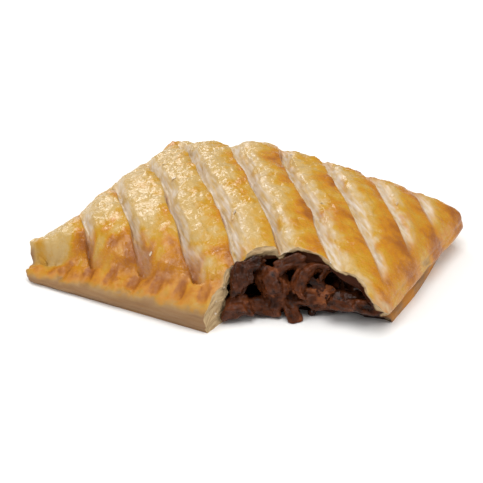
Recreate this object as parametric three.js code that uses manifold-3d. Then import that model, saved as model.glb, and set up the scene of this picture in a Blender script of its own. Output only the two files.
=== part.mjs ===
// Steak slice with its front right corner bitten off.
// One sheet of puff pastry is folded over a steak and gravy filling: the fold is the back edge, the front
// edge is crimped, and the two ends are cut, so the lid and the base part there along a seam. Diagonal
// slashes across the lid have opened in the oven into puffed ribs. The bite shows the filling, which runs
// through the whole parcel.
// Millimetres, +Z up. The origin is on the table under the middle of the parcel, +X runs along its length,
// and -Y is the crimped front.

import * as THREE from "three";
import { mergeVertices } from "three/addons/utils/BufferGeometryUtils.js";
import Module from "manifold-3d";

// Driving sizes of the parcel
const LENGTH = 134;
const WIDTH = 106;
const SHEAR = 0.027; // the ends were cut a little out of square
const CREST_HEIGHT = 31.6; // lid at the middle, between two slashes
const EDGE_HEIGHT = 12.8; // lid and base together, where they are sealed
const CORNER_RADIUS = 4.5;
const GRID_CELL = 2.55; // square, so that its diagonals run along the slashes

// Dome of the lid; each arch has its own fullness and steepness
const CREST_FROM_FRONT = 64;
const END_RUN = 64; // from an end to the full height
const END_ARCH = { belly: 2, steepness: 1.35 };
const FRONT_ARCH = { belly: 2.4, steepness: 1.7 };
const BACK_ARCH = { belly: 3.1, steepness: 2.4 };
const SHOULDER = 4.2; // rounding of the lid's edge at the left end and along the fold
const RIGHT_SHOULDER = 6;
const FOOT_RUN = 8; // from the rim's back to the full edge height
const FOOT_LEFT_RUN = 3.5;

// Crimped front rim, thin at the left and thicker towards the bite
const RIM_WIDTH = 9;
const RIM_LEFT_WIDTH = 4;
const RIM_LEFT_HEIGHT = 8;
const RIM_RIGHT_HEIGHT = 12.8;
const RIM_WALL_SHARE = 0.62; // upright cut face below the crimps
const RIM_GROOVE = 0.2; // behind the rim, open at the left end and nearly filled beyond
const RIM_LEFT_GROOVE = 3.4;
const RIM_GROOVE_SPREAD = 1.8;
const FILLET = { rise: 1.3, from: 2, spread: 3.2 }; // behind the rim, where the groove is filled
const CRIMP_FIRST = -51; // of the marks along X, counted from the left
const CRIMP_COUNT = 7; // the bite took the rest
const CRIMP_PITCH = 9.75;
const CRIMP_WIDTH = 4.4;
const CRIMP_REACH = 5.2;
const CRIMP_DEPTH = 1.1;
const CRIMP_TURN = 0.08; // radians, to and fro

// Slashes, which run from back left to front right
const SLASH_PITCH = 15.9;
const SLASH_OFFSET = 3.6; // of the middle slash from the parcel's own diagonal
const SLASH_LEAN = 0.05; // turns the slashes a little towards the width
const SLASH_BEND = { shift: 6, at: 23, spread: 12, run: [12, 45] }; // a rib that puffed over its slash
const SLASH_DEPTH = 2.5;
const SLASH_HALF_WIDTH = 3.1;
const SLASH_FLOOR = 0.4; // half width of the slash's flat bottom
const SLASH_FADE = { front: [8, 14], back: [2, 15], end: [3, 12] }; // in from each edge
const RIB_CROWN = 2; // extra puff of each rib between two slashes
const RIB_ARCH = { belly: 2, steepness: 1.4 };
const RIGHT_FLATTENING = { share: 0.5, run: [20, 58] }; // slashes and ribs are shallower at the right end

// Edges; a level is a share of the edge's height
const LIP = 1.4; // the lid's edge swells out beyond its top at the ends, and so does the fold
const LIP_LEVEL = 0.68;
const LIP_SPREAD = 0.2;
const CORNER_PUFF = { reach: 1.9, at: -44, spread: 6, level: 0.8, levels: 0.25 }; // lid over the rim, left
const SEAM_DEPTH = 2.4; // gap between lid and base at the cut ends
const SEAM_LEVEL = 0.36;
const SEAM_SPREAD = 0.12;
const SEAM_CLOSED = [5, 30]; // along Y, at the right end
const LEFT_SETBACK = 1.6; // of the base's edge below the lid's, towards the back corners
const RIGHT_SETBACK = 4.2;
const FOLD_LEVEL = 0.62; // where the fold stands out furthest
const FOLD_SPREAD = 0.3;
const FOLD_TUCK = 2.4; // the fold curls under towards the table
const WALL_LEVELS = [0.9, 0.8, LIP_LEVEL, 0.52, SEAM_LEVEL, 0.2, 0];
const UNEVENNESS = { rise: 0.45, alongX: 9.7, alongY: 8.3, slant: 6.1, lean: 1.7 }; // slow waves of the dough
// Where this slice's lid stands higher or lower than an even one
const LID_SWELLS = [
  { x: -15, y: 47, spreadX: 9, spreadY: 13, rise: 2.4 },
  { x: 27, y: 47, spreadX: 16, spreadY: 14, rise: -1.7 },
  { x: -62, y: 49, spreadX: 9, spreadY: 8, rise: 2.2 },
  { x: -66, y: -21, spreadX: 9, spreadY: 17, rise: -2.6 },
];

// Filling and the pastry around it
const CRUST = 3.6;
const BASE_CRUST = 3.6;
const CAVITY_CELL = 6;
const FRONT_WALL = 12; // lid and base pressed together behind the crimps
const BACK_WALL = 6.5;
const LEFT_WALL = 9;
const RIGHT_WALL = 5.5;
const CLEARANCE = 0.3; // between the filling and the pastry
const SLUMP = 1.6; // drop of the filling's top below the lid beside the bite
const SLUMP_REACH = 38;
const GRAVY_SETBACK = 1; // of the gravy between the pieces of steak, behind the bite's face

// Bite: two rounds, the second one at the right end and far deeper below the lid than through it, and a third
// that undercuts the base
const BITES = [
  { x: 42, y: -WIDTH / 2, top: 30, bottom: 30.5, squareness: 2.5, teeth: 13 },
  { x: 60, y: -WIDTH / 2 + 3, top: 11.5, bottom: 34, squareness: 2, teeth: 11 },
];
const UNDERCUT = { x: 48, y: -WIDTH / 2 + 6, top: -10, bottom: 27.4, squareness: 2, teeth: 9 };
const BITE_TIP = 1; // least radius of a round
const BITE_TOP = 26;
const BITE_OVERRUN = 8; // of the bite above the lid and below the base
const BITE_STEPS = 8; // of the bite's wall, over its height
const BITE_MIDDLE = new THREE.Vector2(50, -WIDTH / 2);
const TOOTH_MARK = 0.7;
const TEAR = { depth: 0.6, round: [9, 5], up: [0.71, 0.43] }; // waves in the torn face, round the bite and up

// Steak pieces along the bite's face; angles are seen from the middle of the bite, in degrees from +X
const CHUNK_ROWS = [
  { height: 5.2, count: 6, size: 5.2, from: 78, to: 162 },
  { height: 11.4, count: 5, size: 5.8, from: 84, to: 158 },
  { height: 17.2, count: 3, size: 5.2, from: 98, to: 148 },
];
const CHUNK_FORM = new THREE.Vector3(1.1, 0.82, 0.74);
const CHUNK_SINK = 0.55; // share of a piece that is buried in the filling
const CHUNK_LUMPS = 0.2;
const CHUNK_SCATTER = 2; // of the heights in a row
const CHUNK_SEED = 41;

const wasm = await Module();
wasm.setup();

const { clamp, degToRad, lerp, seededRandom, smoothstep } = THREE.MathUtils;

// Rises from 0 at an edge to 1 at the crest.
function arch(share, { belly, steepness }) {
  return (1 - (1 - clamp(share, 0, 1)) ** belly) ** (1 / steepness);
}

function bump(value, middle, spread) {
  return Math.exp(-(((value - middle) / spread) ** 2));
}

// Drop of a rounded edge at a distance in from it.
function rounded(distance, radius) {
  const share = 1 - clamp(distance / radius, 0, 1);
  return radius * (1 - Math.sqrt(1 - share * share));
}

// Rise and fall of hand-folded dough.
function uneven(x, y) {
  const { rise, alongX, alongY, slant, lean } = UNEVENNESS;
  const long = Math.sin(x / alongX + 0.8) * Math.cos(y / alongY - 0.5);
  const short = Math.sin((x + lean * y) / slant + 2.1);
  return LID_SWELLS.reduce(
    (total, swell) => total + swell.rise * bump(x, swell.x, swell.spreadX) * bump(y, swell.y, swell.spreadY),
    rise * (0.65 * long + 0.35 * short),
  );
}

function rimHeight(x) {
  return lerp(RIM_LEFT_HEIGHT, RIM_RIGHT_HEIGHT, smoothstep(x, -LENGTH / 2, 8));
}

// How far a place is past the left end's own form, from 0 to 1.
function pastLeft(x) {
  return smoothstep(x, -LENGTH / 2, -LENGTH / 3);
}

function rimWidth(x) {
  return lerp(RIM_LEFT_WIDTH, RIM_WIDTH, pastLeft(x));
}

// Height of the lid before it is slashed.
function smoothLid(x, y) {
  const fromFront = y + WIDTH / 2;
  const fromBack = WIDTH / 2 - y;
  const fromEnd = LENGTH / 2 - Math.abs(x - SHEAR * y);
  const rimBack = rimWidth(x);
  const domeFront = rimBack + 1;
  const lengthwise = arch(fromEnd / END_RUN, END_ARCH);
  const crosswise =
    fromFront < CREST_FROM_FRONT
      ? arch((fromFront - domeFront) / (CREST_FROM_FRONT - domeFront), FRONT_ARCH)
      : arch(fromBack / (WIDTH - CREST_FROM_FRONT), BACK_ARCH);
  const dome = (CREST_HEIGHT - RIB_CROWN - EDGE_HEIGHT) * lengthwise * crosswise;
  const slope = Math.sin((Math.PI / 2) * clamp(fromFront / rimBack, 0, 1));
  const rim = rimHeight(x) * lerp(RIM_WALL_SHARE, 1, slope);
  const footRun = lerp(FOOT_LEFT_RUN, FOOT_RUN, pastLeft(x));
  const foot = lerp(rim, EDGE_HEIGHT, smoothstep(fromFront, rimBack - 1, rimBack + footRun));
  const depth = lerp(RIM_LEFT_GROOVE, RIM_GROOVE, pastLeft(x));
  const groove = depth * bump(fromFront, domeFront, RIM_GROOVE_SPREAD);
  const fillet = FILLET.rise * pastLeft(x) * bump(fromFront, rimBack + FILLET.from, FILLET.spread);
  const edges = rounded(fromEnd, x > 0 ? RIGHT_SHOULDER : SHOULDER) + rounded(fromBack, SHOULDER);
  return foot + dome - groove + fillet - edges + uneven(x, y);
}

// Slashes cut into the lid, less the puff of the ribs between them.
function slashed(x, y) {
  const across = (x + y) / Math.SQRT2;
  const along = (x - y) / Math.SQRT2;
  const { shift, at, spread, run } = SLASH_BEND;
  const bend = shift * bump(across, at, spread) * smoothstep(-along, ...run);
  const place = (across - bend - SLASH_OFFSET + SLASH_LEAN * along) / SLASH_PITCH;
  const fromSlash = Math.abs(place - Math.round(place)) * SLASH_PITCH;
  const valley = SLASH_DEPTH * (1 - smoothstep(fromSlash, SLASH_FLOOR, SLASH_HALF_WIDTH));
  const rib = RIB_CROWN * arch((2 * fromSlash) / SLASH_PITCH, RIB_ARCH);
  const fromFront = smoothstep(y + WIDTH / 2, ...SLASH_FADE.front);
  const fromBack = smoothstep(WIDTH / 2 - y, ...SLASH_FADE.back);
  const fromEnd = smoothstep(LENGTH / 2 - Math.abs(x - SHEAR * y), ...SLASH_FADE.end);
  const shallow = lerp(1, RIGHT_FLATTENING.share, smoothstep(x, ...RIGHT_FLATTENING.run));
  return (valley - rib) * shallow * fromFront * fromBack * fromEnd;
}

function lid(x, y) {
  return smoothLid(x, y) - slashed(x, y);
}

// Plan of a rounded rectangle, before the shear: the grid's square corner is drawn onto the corner's arc.
function plan(u, v, low, high) {
  const x = lerp(low.x, high.x, (u + 1) / 2);
  const y = lerp(low.y, high.y, (v + 1) / 2);
  const inX = Math.max(low.x + CORNER_RADIUS - x, x - high.x + CORNER_RADIUS, 0) / CORNER_RADIUS;
  const inY = Math.max(low.y + CORNER_RADIUS - y, y - high.y + CORNER_RADIUS, 0) / CORNER_RADIUS;
  const pullX = CORNER_RADIUS * inX * (1 - Math.sqrt(1 - (inY * inY) / 2));
  const pullY = CORNER_RADIUS * inY * (1 - Math.sqrt(1 - (inX * inX) / 2));
  return new THREE.Vector2(x - Math.sign(u) * pullX, y - Math.sign(v) * pullY);
}

function geometryFrom(points, triangles) {
  const position = new Float32Array(points.flatMap((p) => [p.x, p.y, p.z]));
  const geometry = new THREE.BufferGeometry();
  geometry.setAttribute("position", new THREE.BufferAttribute(position, 3));
  return geometry.setIndex(triangles);
}

// A closed solid: a gridded skin on top, a wall of rings below the skin's edge, and a flat base.
// skin(u, v) gives the skin's point for u and v from -1 to 1, and wall(edge, level) the point of a ring
// below an edge point, at a level that falls from 1 at the skin to 0 at the base.
function moulded(columns, rows, levels, skin, wall) {
  const points = [];
  const triangles = [];
  const at = (column, row) => row * (columns + 1) + column;
  for (let row = 0; row <= rows; row++)
    for (let column = 0; column <= columns; column++)
      points.push(skin((2 * column) / columns - 1, (2 * row) / rows - 1));
  for (let row = 0; row < rows; row++)
    for (let column = 0; column < columns; column++) {
      const right = at(column + 1, row);
      const above = at(column, row + 1);
      triangles.push(at(column, row), right, above);
      triangles.push(right, at(column + 1, row + 1), above);
    }

  const edge = [];
  for (let column = 0; column < columns; column++) edge.push(at(column, 0));
  for (let row = 0; row < rows; row++) edge.push(at(columns, row));
  for (let column = columns; column > 0; column--) edge.push(at(column, rows));
  for (let row = rows; row > 0; row--) edge.push(at(0, row));

  let upper = edge;
  for (const level of levels) {
    const lower = edge.map((i) => points.push(wall(points[i], level)) - 1);
    upper.forEach((here, i) => {
      const next = (i + 1) % upper.length;
      triangles.push(here, lower[i], lower[next]);
      triangles.push(here, lower[next], upper[next]);
    });
    upper = lower;
  }

  const outline = upper.map((i) => new THREE.Vector2(points[i].x, points[i].y));
  for (const [a, b, c] of THREE.ShapeUtils.triangulateShape(outline, []))
    triangles.push(upper[a], upper[c], upper[b]);
  return geometryFrom(points, triangles);
}

function solid(geometry) {
  geometry.deleteAttribute("normal");
  geometry.deleteAttribute("uv");
  const merged = mergeVertices(geometry, 1e-4);
  return new wasm.Manifold(
    new wasm.Mesh({
      numProp: 3,
      vertProperties: merged.attributes.position.array,
      triVerts: new Uint32Array(merged.index.array),
    }),
  );
}

function displaced(geometry, move) {
  const position = geometry.attributes.position;
  const point = new THREE.Vector3();
  for (let i = 0; i < position.count; i++) {
    move(point.fromBufferAttribute(position, i));
    position.setXYZ(i, point.x, point.y, point.z);
  }
  return geometry;
}

// Which way a point of the outline faces.
function facing(point, low, high) {
  const x = Math.max(point.x - high.x + CORNER_RADIUS, 0) + Math.min(point.x - low.x - CORNER_RADIUS, 0);
  const y = Math.max(point.y - high.y + CORNER_RADIUS, 0) + Math.min(point.y - low.y - CORNER_RADIUS, 0);
  return new THREE.Vector2(x, y).normalize();
}

// How far the side wall stands out from the lid's edge: parted by the seam at the cut ends, upright below
// the crimps, and rounded and tucked under along the fold.
function sideSwell(out, y, level) {
  const right = out.x > 0;
  const { reach, at, spread, level: puffLevel, levels } = CORNER_PUFF;
  const puff = right ? 0 : reach * bump(y, at, spread) * bump(level, puffLevel, levels);
  const lip = LIP * bump(level, LIP_LEVEL, LIP_SPREAD) * smoothstep(y + WIDTH / 2, 2, RIM_WIDTH) + puff;
  const parted = right ? 1 - smoothstep(y, ...SEAM_CLOSED) : 1;
  const seam = SEAM_DEPTH * bump(level, SEAM_LEVEL, SEAM_SPREAD) * parted;
  const furthest = right ? RIGHT_SETBACK : LEFT_SETBACK;
  const setback = furthest * smoothstep(y, 0, WIDTH / 2) * (1 - smoothstep(level, 0, LIP_LEVEL));
  const tuck = FOLD_TUCK * (1 - smoothstep(level, 0, FOLD_LEVEL));
  const fold = LIP * bump(level, FOLD_LEVEL, FOLD_SPREAD) - tuck;
  return out.x * out.x * (lip - seam - setback) + Math.max(out.y, 0) ** 2 * fold;
}

// Places a point of the square-cut plan on the parcel, at a height that its place gives.
function placed(p, height) {
  const x = p.x + SHEAR * p.y;
  return new THREE.Vector3(x, p.y, height(x, p.y));
}

function parcel() {
  const low = new THREE.Vector2(-LENGTH / 2 + LIP, -WIDTH / 2);
  const high = new THREE.Vector2(LENGTH / 2 - LIP, WIDTH / 2 - LIP);
  const skin = (u, v) => placed(plan(u, v, low, high), lid);
  const wall = (edge, level) => {
    const square = new THREE.Vector2(edge.x - SHEAR * edge.y, edge.y);
    const out = facing(square, low, high);
    square.addScaledVector(out, sideSwell(out, edge.y, level));
    return placed(square, () => edge.z * level);
  };
  const columns = Math.round((high.x - low.x) / GRID_CELL);
  const rows = Math.round((high.y - low.y) / GRID_CELL);
  return solid(moulded(columns, rows, WALL_LEVELS, skin, wall));
}

// The space for the filling, drawn in by a margin. drop(x, y) lowers its roof.
function cavity(margin, drop) {
  const low = new THREE.Vector2(-LENGTH / 2 + LEFT_WALL, -WIDTH / 2 + FRONT_WALL);
  const high = new THREE.Vector2(LENGTH / 2 - RIGHT_WALL, WIDTH / 2 - BACK_WALL);
  const columns = Math.round((high.x - low.x) / CAVITY_CELL);
  const rows = Math.round((high.y - low.y) / CAVITY_CELL);
  low.addScalar(margin);
  high.subScalar(margin);
  const floor = BASE_CRUST + margin;
  const roof = (x, y) => smoothLid(x, y) - CRUST - 2 * margin - drop(x, y);
  const skin = (u, v) => placed(plan(u, v, low, high), roof);
  const wall = (edge, level) => new THREE.Vector3(edge.x, edge.y, lerp(floor, edge.z, level));
  return solid(moulded(columns, rows, [0], skin, wall));
}

// Radius of one round of the bite at a height.
function biteRadius({ top, bottom }, height) {
  return lerp(bottom, top, height / BITE_TOP);
}

// One round of the bite: a ragged cone, a little square in plan, whose wave is the mark of the teeth.
function biteRound(round, inset) {
  const low = -BITE_OVERRUN;
  const high = BITE_TOP + BITE_OVERRUN;
  const column = new THREE.CylinderGeometry(1, 1, high - low, round.teeth * 4, BITE_STEPS);
  column.rotateX(Math.PI / 2);
  displaced(column, (p) => {
    const height = p.z + (low + high) / 2;
    const radius = Math.max(biteRadius(round, height) - inset, BITE_TIP);
    const angle = Math.atan2(p.y, p.x);
    const power = round.squareness;
    const sides = Math.abs(Math.cos(angle)) ** power + Math.abs(Math.sin(angle)) ** power;
    const square = sides ** (-1 / power);
    const marks = TOOTH_MARK * Math.abs(Math.sin((angle * round.teeth) / 2 + 0.4));
    const { depth, round: turns, up } = TEAR;
    const tear = Math.sin(height * up[0] + angle * turns[0]) * Math.cos(height * up[1] - angle * turns[1]);
    const reach = radius * square + marks + depth * tear;
    p.set(round.x + p.x * reach, round.y + p.y * reach, height);
  });
  return solid(column);
}

function bite(inset = 0) {
  return [...BITES, UNDERCUT].map((round) => biteRound(round, inset)).reduce((a, b) => a.add(b));
}

// Press marks along the front rim, square to its slope.
function crimps() {
  const y = -WIDTH / 2 + RIM_WIDTH / 2;
  const thickness = 3 * CRIMP_DEPTH;
  return Array.from({ length: CRIMP_COUNT }, (_, i) => {
    const x = CRIMP_FIRST + i * CRIMP_PITCH;
    const slope = Math.atan2(rimHeight(x) * (1 - RIM_WALL_SHARE), RIM_WIDTH);
    const mark = new THREE.BoxGeometry(CRIMP_WIDTH, CRIMP_REACH, thickness);
    mark.translate(0, 0, thickness / 2 - CRIMP_DEPTH);
    mark.rotateX(slope);
    mark.rotateZ(CRIMP_TURN * Math.sin(i * 2.3));
    mark.translate(x, y, smoothLid(x, y));
    return solid(mark);
  });
}

// Distance from the middle of the bite to its face, in a direction and at a height.
function biteReach(angle, height) {
  const direction = new THREE.Vector2(Math.cos(angle), Math.sin(angle));
  const reaches = BITES.map((round) => {
    const centre = new THREE.Vector2(round.x, round.y).sub(BITE_MIDDLE);
    const along = centre.dot(direction);
    return along + Math.sqrt(along * along + biteRadius(round, height) ** 2 - centre.lengthSq());
  });
  return Math.max(...reaches);
}

// An irregular piece of steak, longest along X.
function chunk(size, twist) {
  const form = CHUNK_FORM.clone().multiplyScalar(size);
  return displaced(new THREE.IcosahedronGeometry(1, 1), (p) => {
    const lumps = Math.sin(3.1 * p.x + 2 * p.z + twist) * Math.cos(2.6 * p.y - 1.7 * twist);
    p.multiplyScalar(1 + CHUNK_LUMPS * lumps).multiply(form);
  });
}

// The pieces of steak that show on the bite's face.
function chunks() {
  seededRandom(CHUNK_SEED);
  return CHUNK_ROWS.flatMap(({ height, count, size, from, to }) =>
    Array.from({ length: count }, (_, i) => {
      const share = (i + 0.25 + 0.5 * seededRandom()) / count;
      const angle = degToRad(lerp(from, to, share));
      const scale = size * (0.85 + 0.3 * seededRandom());
      const reach = biteReach(angle, height) + scale * (2 * CHUNK_SINK - 1);
      const piece = chunk(scale, 6 * seededRandom());
      piece.rotateX(3 * seededRandom());
      piece.rotateY(seededRandom() - 0.5);
      piece.rotateZ(angle + Math.PI / 2);
      piece.translate(
        BITE_MIDDLE.x + reach * Math.cos(angle),
        BITE_MIDDLE.y + reach * Math.sin(angle),
        height + CHUNK_SCATTER * (seededRandom() - 0.5),
      );
      return solid(piece);
    }),
  );
}

function pastrySolid() {
  const hollow = cavity(0, () => 0);
  const opened = parcel().subtract(hollow).subtract(bite());
  return crimps().reduce((pastry, mark) => pastry.subtract(mark), opened);
}

// The filling keeps clear of the pastry: it stays in the drawn-in cavity, or in the bite's own space above
// the table.
function fillingSolid() {
  const [round] = BITES;
  const slump = (x, y) => {
    const away = Math.hypot(x - round.x, y - round.y) - round.top;
    return SLUMP * (1 - smoothstep(away, 0, SLUMP_REACH));
  };
  const overTable = new THREE.BoxGeometry(LENGTH, 2 * WIDTH, BITE_TOP);
  overTable.translate(0, 0, BITE_TOP / 2 + CLEARANCE);
  const bitten = bite(2 * CLEARANCE).intersect(solid(overTable));
  const room = cavity(CLEARANCE, () => 0).add(bitten);
  const core = cavity(CLEARANCE, slump).subtract(bite(-GRAVY_SETBACK));
  return chunks()
    .reduce((filling, piece) => filling.add(piece), core)
    .intersect(room);
}

function meshFrom(name, manifold, material) {
  const { numProp, vertProperties, triVerts } = manifold.getMesh();
  const geometry = new THREE.BufferGeometry();
  const packed = new THREE.InterleavedBuffer(vertProperties, numProp);
  geometry.setAttribute("position", new THREE.InterleavedBufferAttribute(packed, 3, 0));
  geometry.setIndex(new THREE.BufferAttribute(triVerts, 1));
  geometry.computeVertexNormals();
  const mesh = new THREE.Mesh(geometry, material);
  mesh.name = name;
  return mesh;
}

const bakedPastry = new THREE.MeshStandardMaterial({ color: 0xdca24c, roughness: 0.45, metalness: 0 });
const steakInGravy = new THREE.MeshStandardMaterial({ color: 0x4a2a1c, roughness: 0.35, metalness: 0 });

const steakSlice = new THREE.Group();
steakSlice.name = "steak_slice";
steakSlice.add(meshFrom("pastry", pastrySolid(), bakedPastry));
steakSlice.add(meshFrom("filling", fillingSolid(), steakInGravy));

export default steakSlice;
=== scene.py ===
"""Steak slice with a bitten corner: puff pastry crust, steak filling, loose leaves, crumbs and a stage."""

import itertools
import math

import bmesh
import bpy
import numpy as np
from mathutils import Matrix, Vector
from mathutils.kdtree import KDTree


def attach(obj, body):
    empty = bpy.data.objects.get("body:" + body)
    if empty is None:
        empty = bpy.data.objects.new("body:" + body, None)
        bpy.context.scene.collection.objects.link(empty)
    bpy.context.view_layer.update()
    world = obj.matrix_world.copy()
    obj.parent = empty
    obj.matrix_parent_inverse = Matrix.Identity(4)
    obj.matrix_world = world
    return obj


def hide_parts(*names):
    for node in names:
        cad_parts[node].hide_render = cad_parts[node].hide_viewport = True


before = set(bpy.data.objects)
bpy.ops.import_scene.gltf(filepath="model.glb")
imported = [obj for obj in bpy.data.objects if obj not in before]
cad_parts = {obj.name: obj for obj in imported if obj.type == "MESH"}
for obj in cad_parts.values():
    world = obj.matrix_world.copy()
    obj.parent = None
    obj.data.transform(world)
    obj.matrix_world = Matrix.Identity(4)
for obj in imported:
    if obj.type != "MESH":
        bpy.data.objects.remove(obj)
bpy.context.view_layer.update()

bl_info = {
    "name": "Steak slice",
    "version": (1, 0, 0),
    "blender": (4, 5, 0),
    "location": "3D View > Sidebar > Steak slice",
    "description": "Builds a bitten puff pastry slice with a steak and gravy filling around its solids",
    "category": "Add Mesh",
}

MM = 0.001

# Camera: sensor width in millimetres, and the shift that frames the slice as the photo does
SENSOR = 36
SHIFT_X = -0.0151
SHIFT_Y = 0.0395

# Softboxes: place and width in metres
SOFTBOXES = {
    "key": {"place": (-0.72, 0.52, 0.5), "size": 0.4},
    "side": {"place": (1.0, 0.3, 0.55), "size": 0.7},
    "top": {"place": (0.1, -0.22, 1.25), "size": 1.1},
    "fill": {"place": (-0.5, -0.75, 0.6), "size": 0.4},
}
FLOOR_REACH = 1500

# Form of the parcel, in millimetres. It follows the solids, with a finer left corner
LENGTH = 134
WIDTH = 106
SHEAR = 0.027
CREST_HEIGHT = 31.6
EDGE_HEIGHT = 12.8
CORNER_RADIUS = 4.5
CREST_FROM_FRONT = 64
END_RUN = 64
END_ARCH = (2, 1.35)
FRONT_ARCH = (2.4, 1.7)
BACK_ARCH = (3.1, 2.4)
SHOULDER = 4.2
RIGHT_SHOULDER = 6
FOOT_RUN = 8
FOOT_LEFT_RUN = 3.5
RIM_WIDTH = 9
RIM_LEFT_WIDTH = 4
RIM_LEFT_HEIGHT = 5.6
RIM_RIGHT_HEIGHT = 12.8
RIM_WALL_SHARE = 0.62
RIM_GROOVE = 0.2
RIM_LEFT_GROOVE = 3.4
RIM_GROOVE_SPREAD = 1.8
FILLET_RISE = 1.3
FILLET_FROM = 2
FILLET_SPREAD = 3.2
CRIMP_FIRST = -51
CRIMP_COUNT = 7
CRIMP_PITCH = 9.75
CRIMP_WIDTH = 4.4
CRIMP_REACH = 5.2
CRIMP_DEPTH = 1.1
CRIMP_TURN = 0.08
SLASH_PITCH = 15.9
SLASH_OFFSET = 3.6
SLASH_LEAN = 0.05
SLASH_BEND = 6
SLASH_BEND_AT = 23
SLASH_BEND_SPREAD = 12
SLASH_DEPTH = 2.5
# Where the slashes open, in from each edge
SLASH_FADE = {"front": (7.5, 10.5), "back": (2, 15), "end": (3, 12)}
CRACK_DEPTH = 0.9
RIB_CROWN = 2.0
RIB_ARCH = (2, 1.4)
# Slashes and ribs are shallower towards the right end
RIGHT_FLATNESS = 0.5
LIP = 1.4
LIP_LEVEL = 0.68
LIP_SPREAD = 0.2
SEAM_DEPTH = 2.4
SEAM_LEVEL = 0.36
SEAM_SPREAD = 0.12
LEFT_SETBACK = 1.6
RIGHT_SETBACK = 4.2
CORNER_PUFF = 2.2
CORNER_PUFF_AT = -45
CORNER_PUFF_SPREAD = 5
CORNER_PUFF_LEVEL = 0.92
CORNER_SEAM_RISE = 0.14
CORNER_BLUNT = 2.0
# Notch in the plan of the lid's edge, between the puffed corner and the rim
CORNER_NOTCH = 3.0
CORNER_NOTCH_AT = -47.6
CORNER_NOTCH_SPREAD = 2.0
FOLD_LEVEL = 0.62
FOLD_SPREAD = 0.3
FOLD_TUCK = 2.4
UNEVENNESS = 0.45
CRUST = 3.6
BASE_CRUST = 3.6
FRONT_WALL = 12
BACK_WALL = 6.5
LEFT_WALL = 9
RIGHT_WALL = 5.5
CLEARANCE = 0.3
SLUMP = 1.6
SLUMP_REACH = 38
# Ribs that broke across: the slash to the left, the place along it, and the drop
CROSS_CREASES = ((1, 13.0, 1.0), (-2, 2.0, 0.5), (0, 26.0, 0.5), (2, 30.0, 0.6), (-3, -12.0, 0.5))
# Where this slice's lid stands higher or lower than an even one
LID_SWELLS = (
    {"x": -15, "y": 47, "spread_x": 9, "spread_y": 13, "rise": 2.4},
    {"x": 27, "y": 47, "spread_x": 16, "spread_y": 14, "rise": -1.7},
    {"x": -62, "y": 49, "spread_x": 9, "spread_y": 8, "rise": 2.2},
    {"x": -66, "y": -21, "spread_x": 9, "spread_y": 17, "rise": -2.6},
)
BITE_TOP = 26
BITE_OVERRUN = 8
BITES = (
    {"x": 42, "y": -53, "top": 30, "bottom": 30.5, "squareness": 2.5, "teeth": 13},
    {"x": 60, "y": -50, "top": 11.5, "bottom": 34, "squareness": 2, "teeth": 11},
    {"x": 48, "y": -47, "top": -10, "bottom": 27.4, "squareness": 2, "teeth": 9},
)
TOOTH_MARK = 0.7
TEAR = 0.6
# Torn leaves follow the lid down to this depth, and lie flat below it
LID_LEAVES = 9
# Points closer than this are one point
SAME_PLACE = 0.00002


def linear(code):
    """Linear colour of an sRGB hex value."""
    shares = [int(code[i : i + 2], 16) / 255 for i in (0, 2, 4)]
    return [s / 12.92 if s <= 0.04045 else ((s + 0.055) / 1.055) ** 2.4 for s in shares] + [1.0]


def colour(name, description, code):
    """A colour that a user can change."""
    return bpy.props.FloatVectorProperty(
        name=name, description=description, subtype="COLOR", size=4, min=0, max=1, default=linear(code)
    )


def amount(name, description, default, **settings):
    """A number that a user can change."""
    return bpy.props.FloatProperty(name=name, description=description, default=default, **settings)


def length(name, description, millimetres):
    """A length that a user can change."""
    return amount(name, description, millimetres * MM, min=0, unit="LENGTH", precision=5)


def whole(name, description, default):
    """A whole number that a user can change."""
    return bpy.props.IntProperty(name=name, description=description, default=default, min=0)


class SteakSliceCrust(bpy.types.PropertyGroup):
    """Sizes and colours of the pastry crust."""

    cell: length("Grid cell", "Spacing of the lid's grid", 0.55)
    ring: length("Wall ring", "Spacing of the side wall's rings", 0.33)
    blister: length("Blister height", "Height of the bubbles under the glaze", 0.5)
    wrinkle: length("Wrinkle height", "Height of the folds in the glaze", 0.3)
    leaf: length("Leaf pitch", "Thickness of one baked leaf where the pastry was cut", 0.95)
    gold: colour("Gold", "Egg-glazed pastry, baked golden", "b98a20")
    pale_gold: colour("Pale gold", "Glazed pastry that coloured least", "bd9d60")
    toasted: colour("Toasted", "Browned patches of the glaze", "b77506")
    dark_toast: colour("Dark toast", "Brownest spots of the glaze", "92520e")
    bare_leaf: colour("Bare leaf", "Unglazed leaves inside a slash", "d2c7ba")
    # The wall colour is the cut pastry's own tan, darkened in part as painted shade for the front wall
    wall: colour("Wall", "Cut side of the parcel", "855f37")
    crumb: colour("Crumb", "Torn pastry at the bite", "c2a880")
    gravy: colour("Gravy stain", "Gravy that soaked into the pastry", "38190a")


class SteakSliceFilling(bpy.types.PropertyGroup):
    """Sizes and colours of the steak filling."""

    voxel: length("Voxel", "Cell of the mesh that joins the pieces of steak", 0.45)
    fibre: length("Fibre pitch", "Spacing of the meat's fibres", 1.1)
    fibre_height: length("Fibre height", "Relief of the meat's fibres", 0.26)
    shreds: whole("Shreds", "Small shreds of steak among the pieces", 10)
    seed: whole("Seed", "Start of the random draw", 5)
    steak: colour("Steak", "Braised steak where light falls on it", "96562e")
    dark_steak: colour("Dark steak", "Braised steak, the darkest pieces", "5e3018")
    # Gravy colour, near black: partly painted shade for the gaps between the pieces of steak
    gravy: colour("Gravy", "Gravy between the pieces of steak", "180802")


class SteakSliceLeaves(bpy.types.PropertyGroup):
    """Sizes of the loose leaves of pastry."""

    size: length("Leaf length", "Length of one loose leaf", 2.4)
    thickness: length("Leaf thickness", "Thickness of one loose leaf", 0.14)
    density: amount("Leaves", "Leaves on a square metre where the pastry is flakiest", 16000, min=0)
    seed: whole("Seed", "Start of the random draw", 7)


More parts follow.
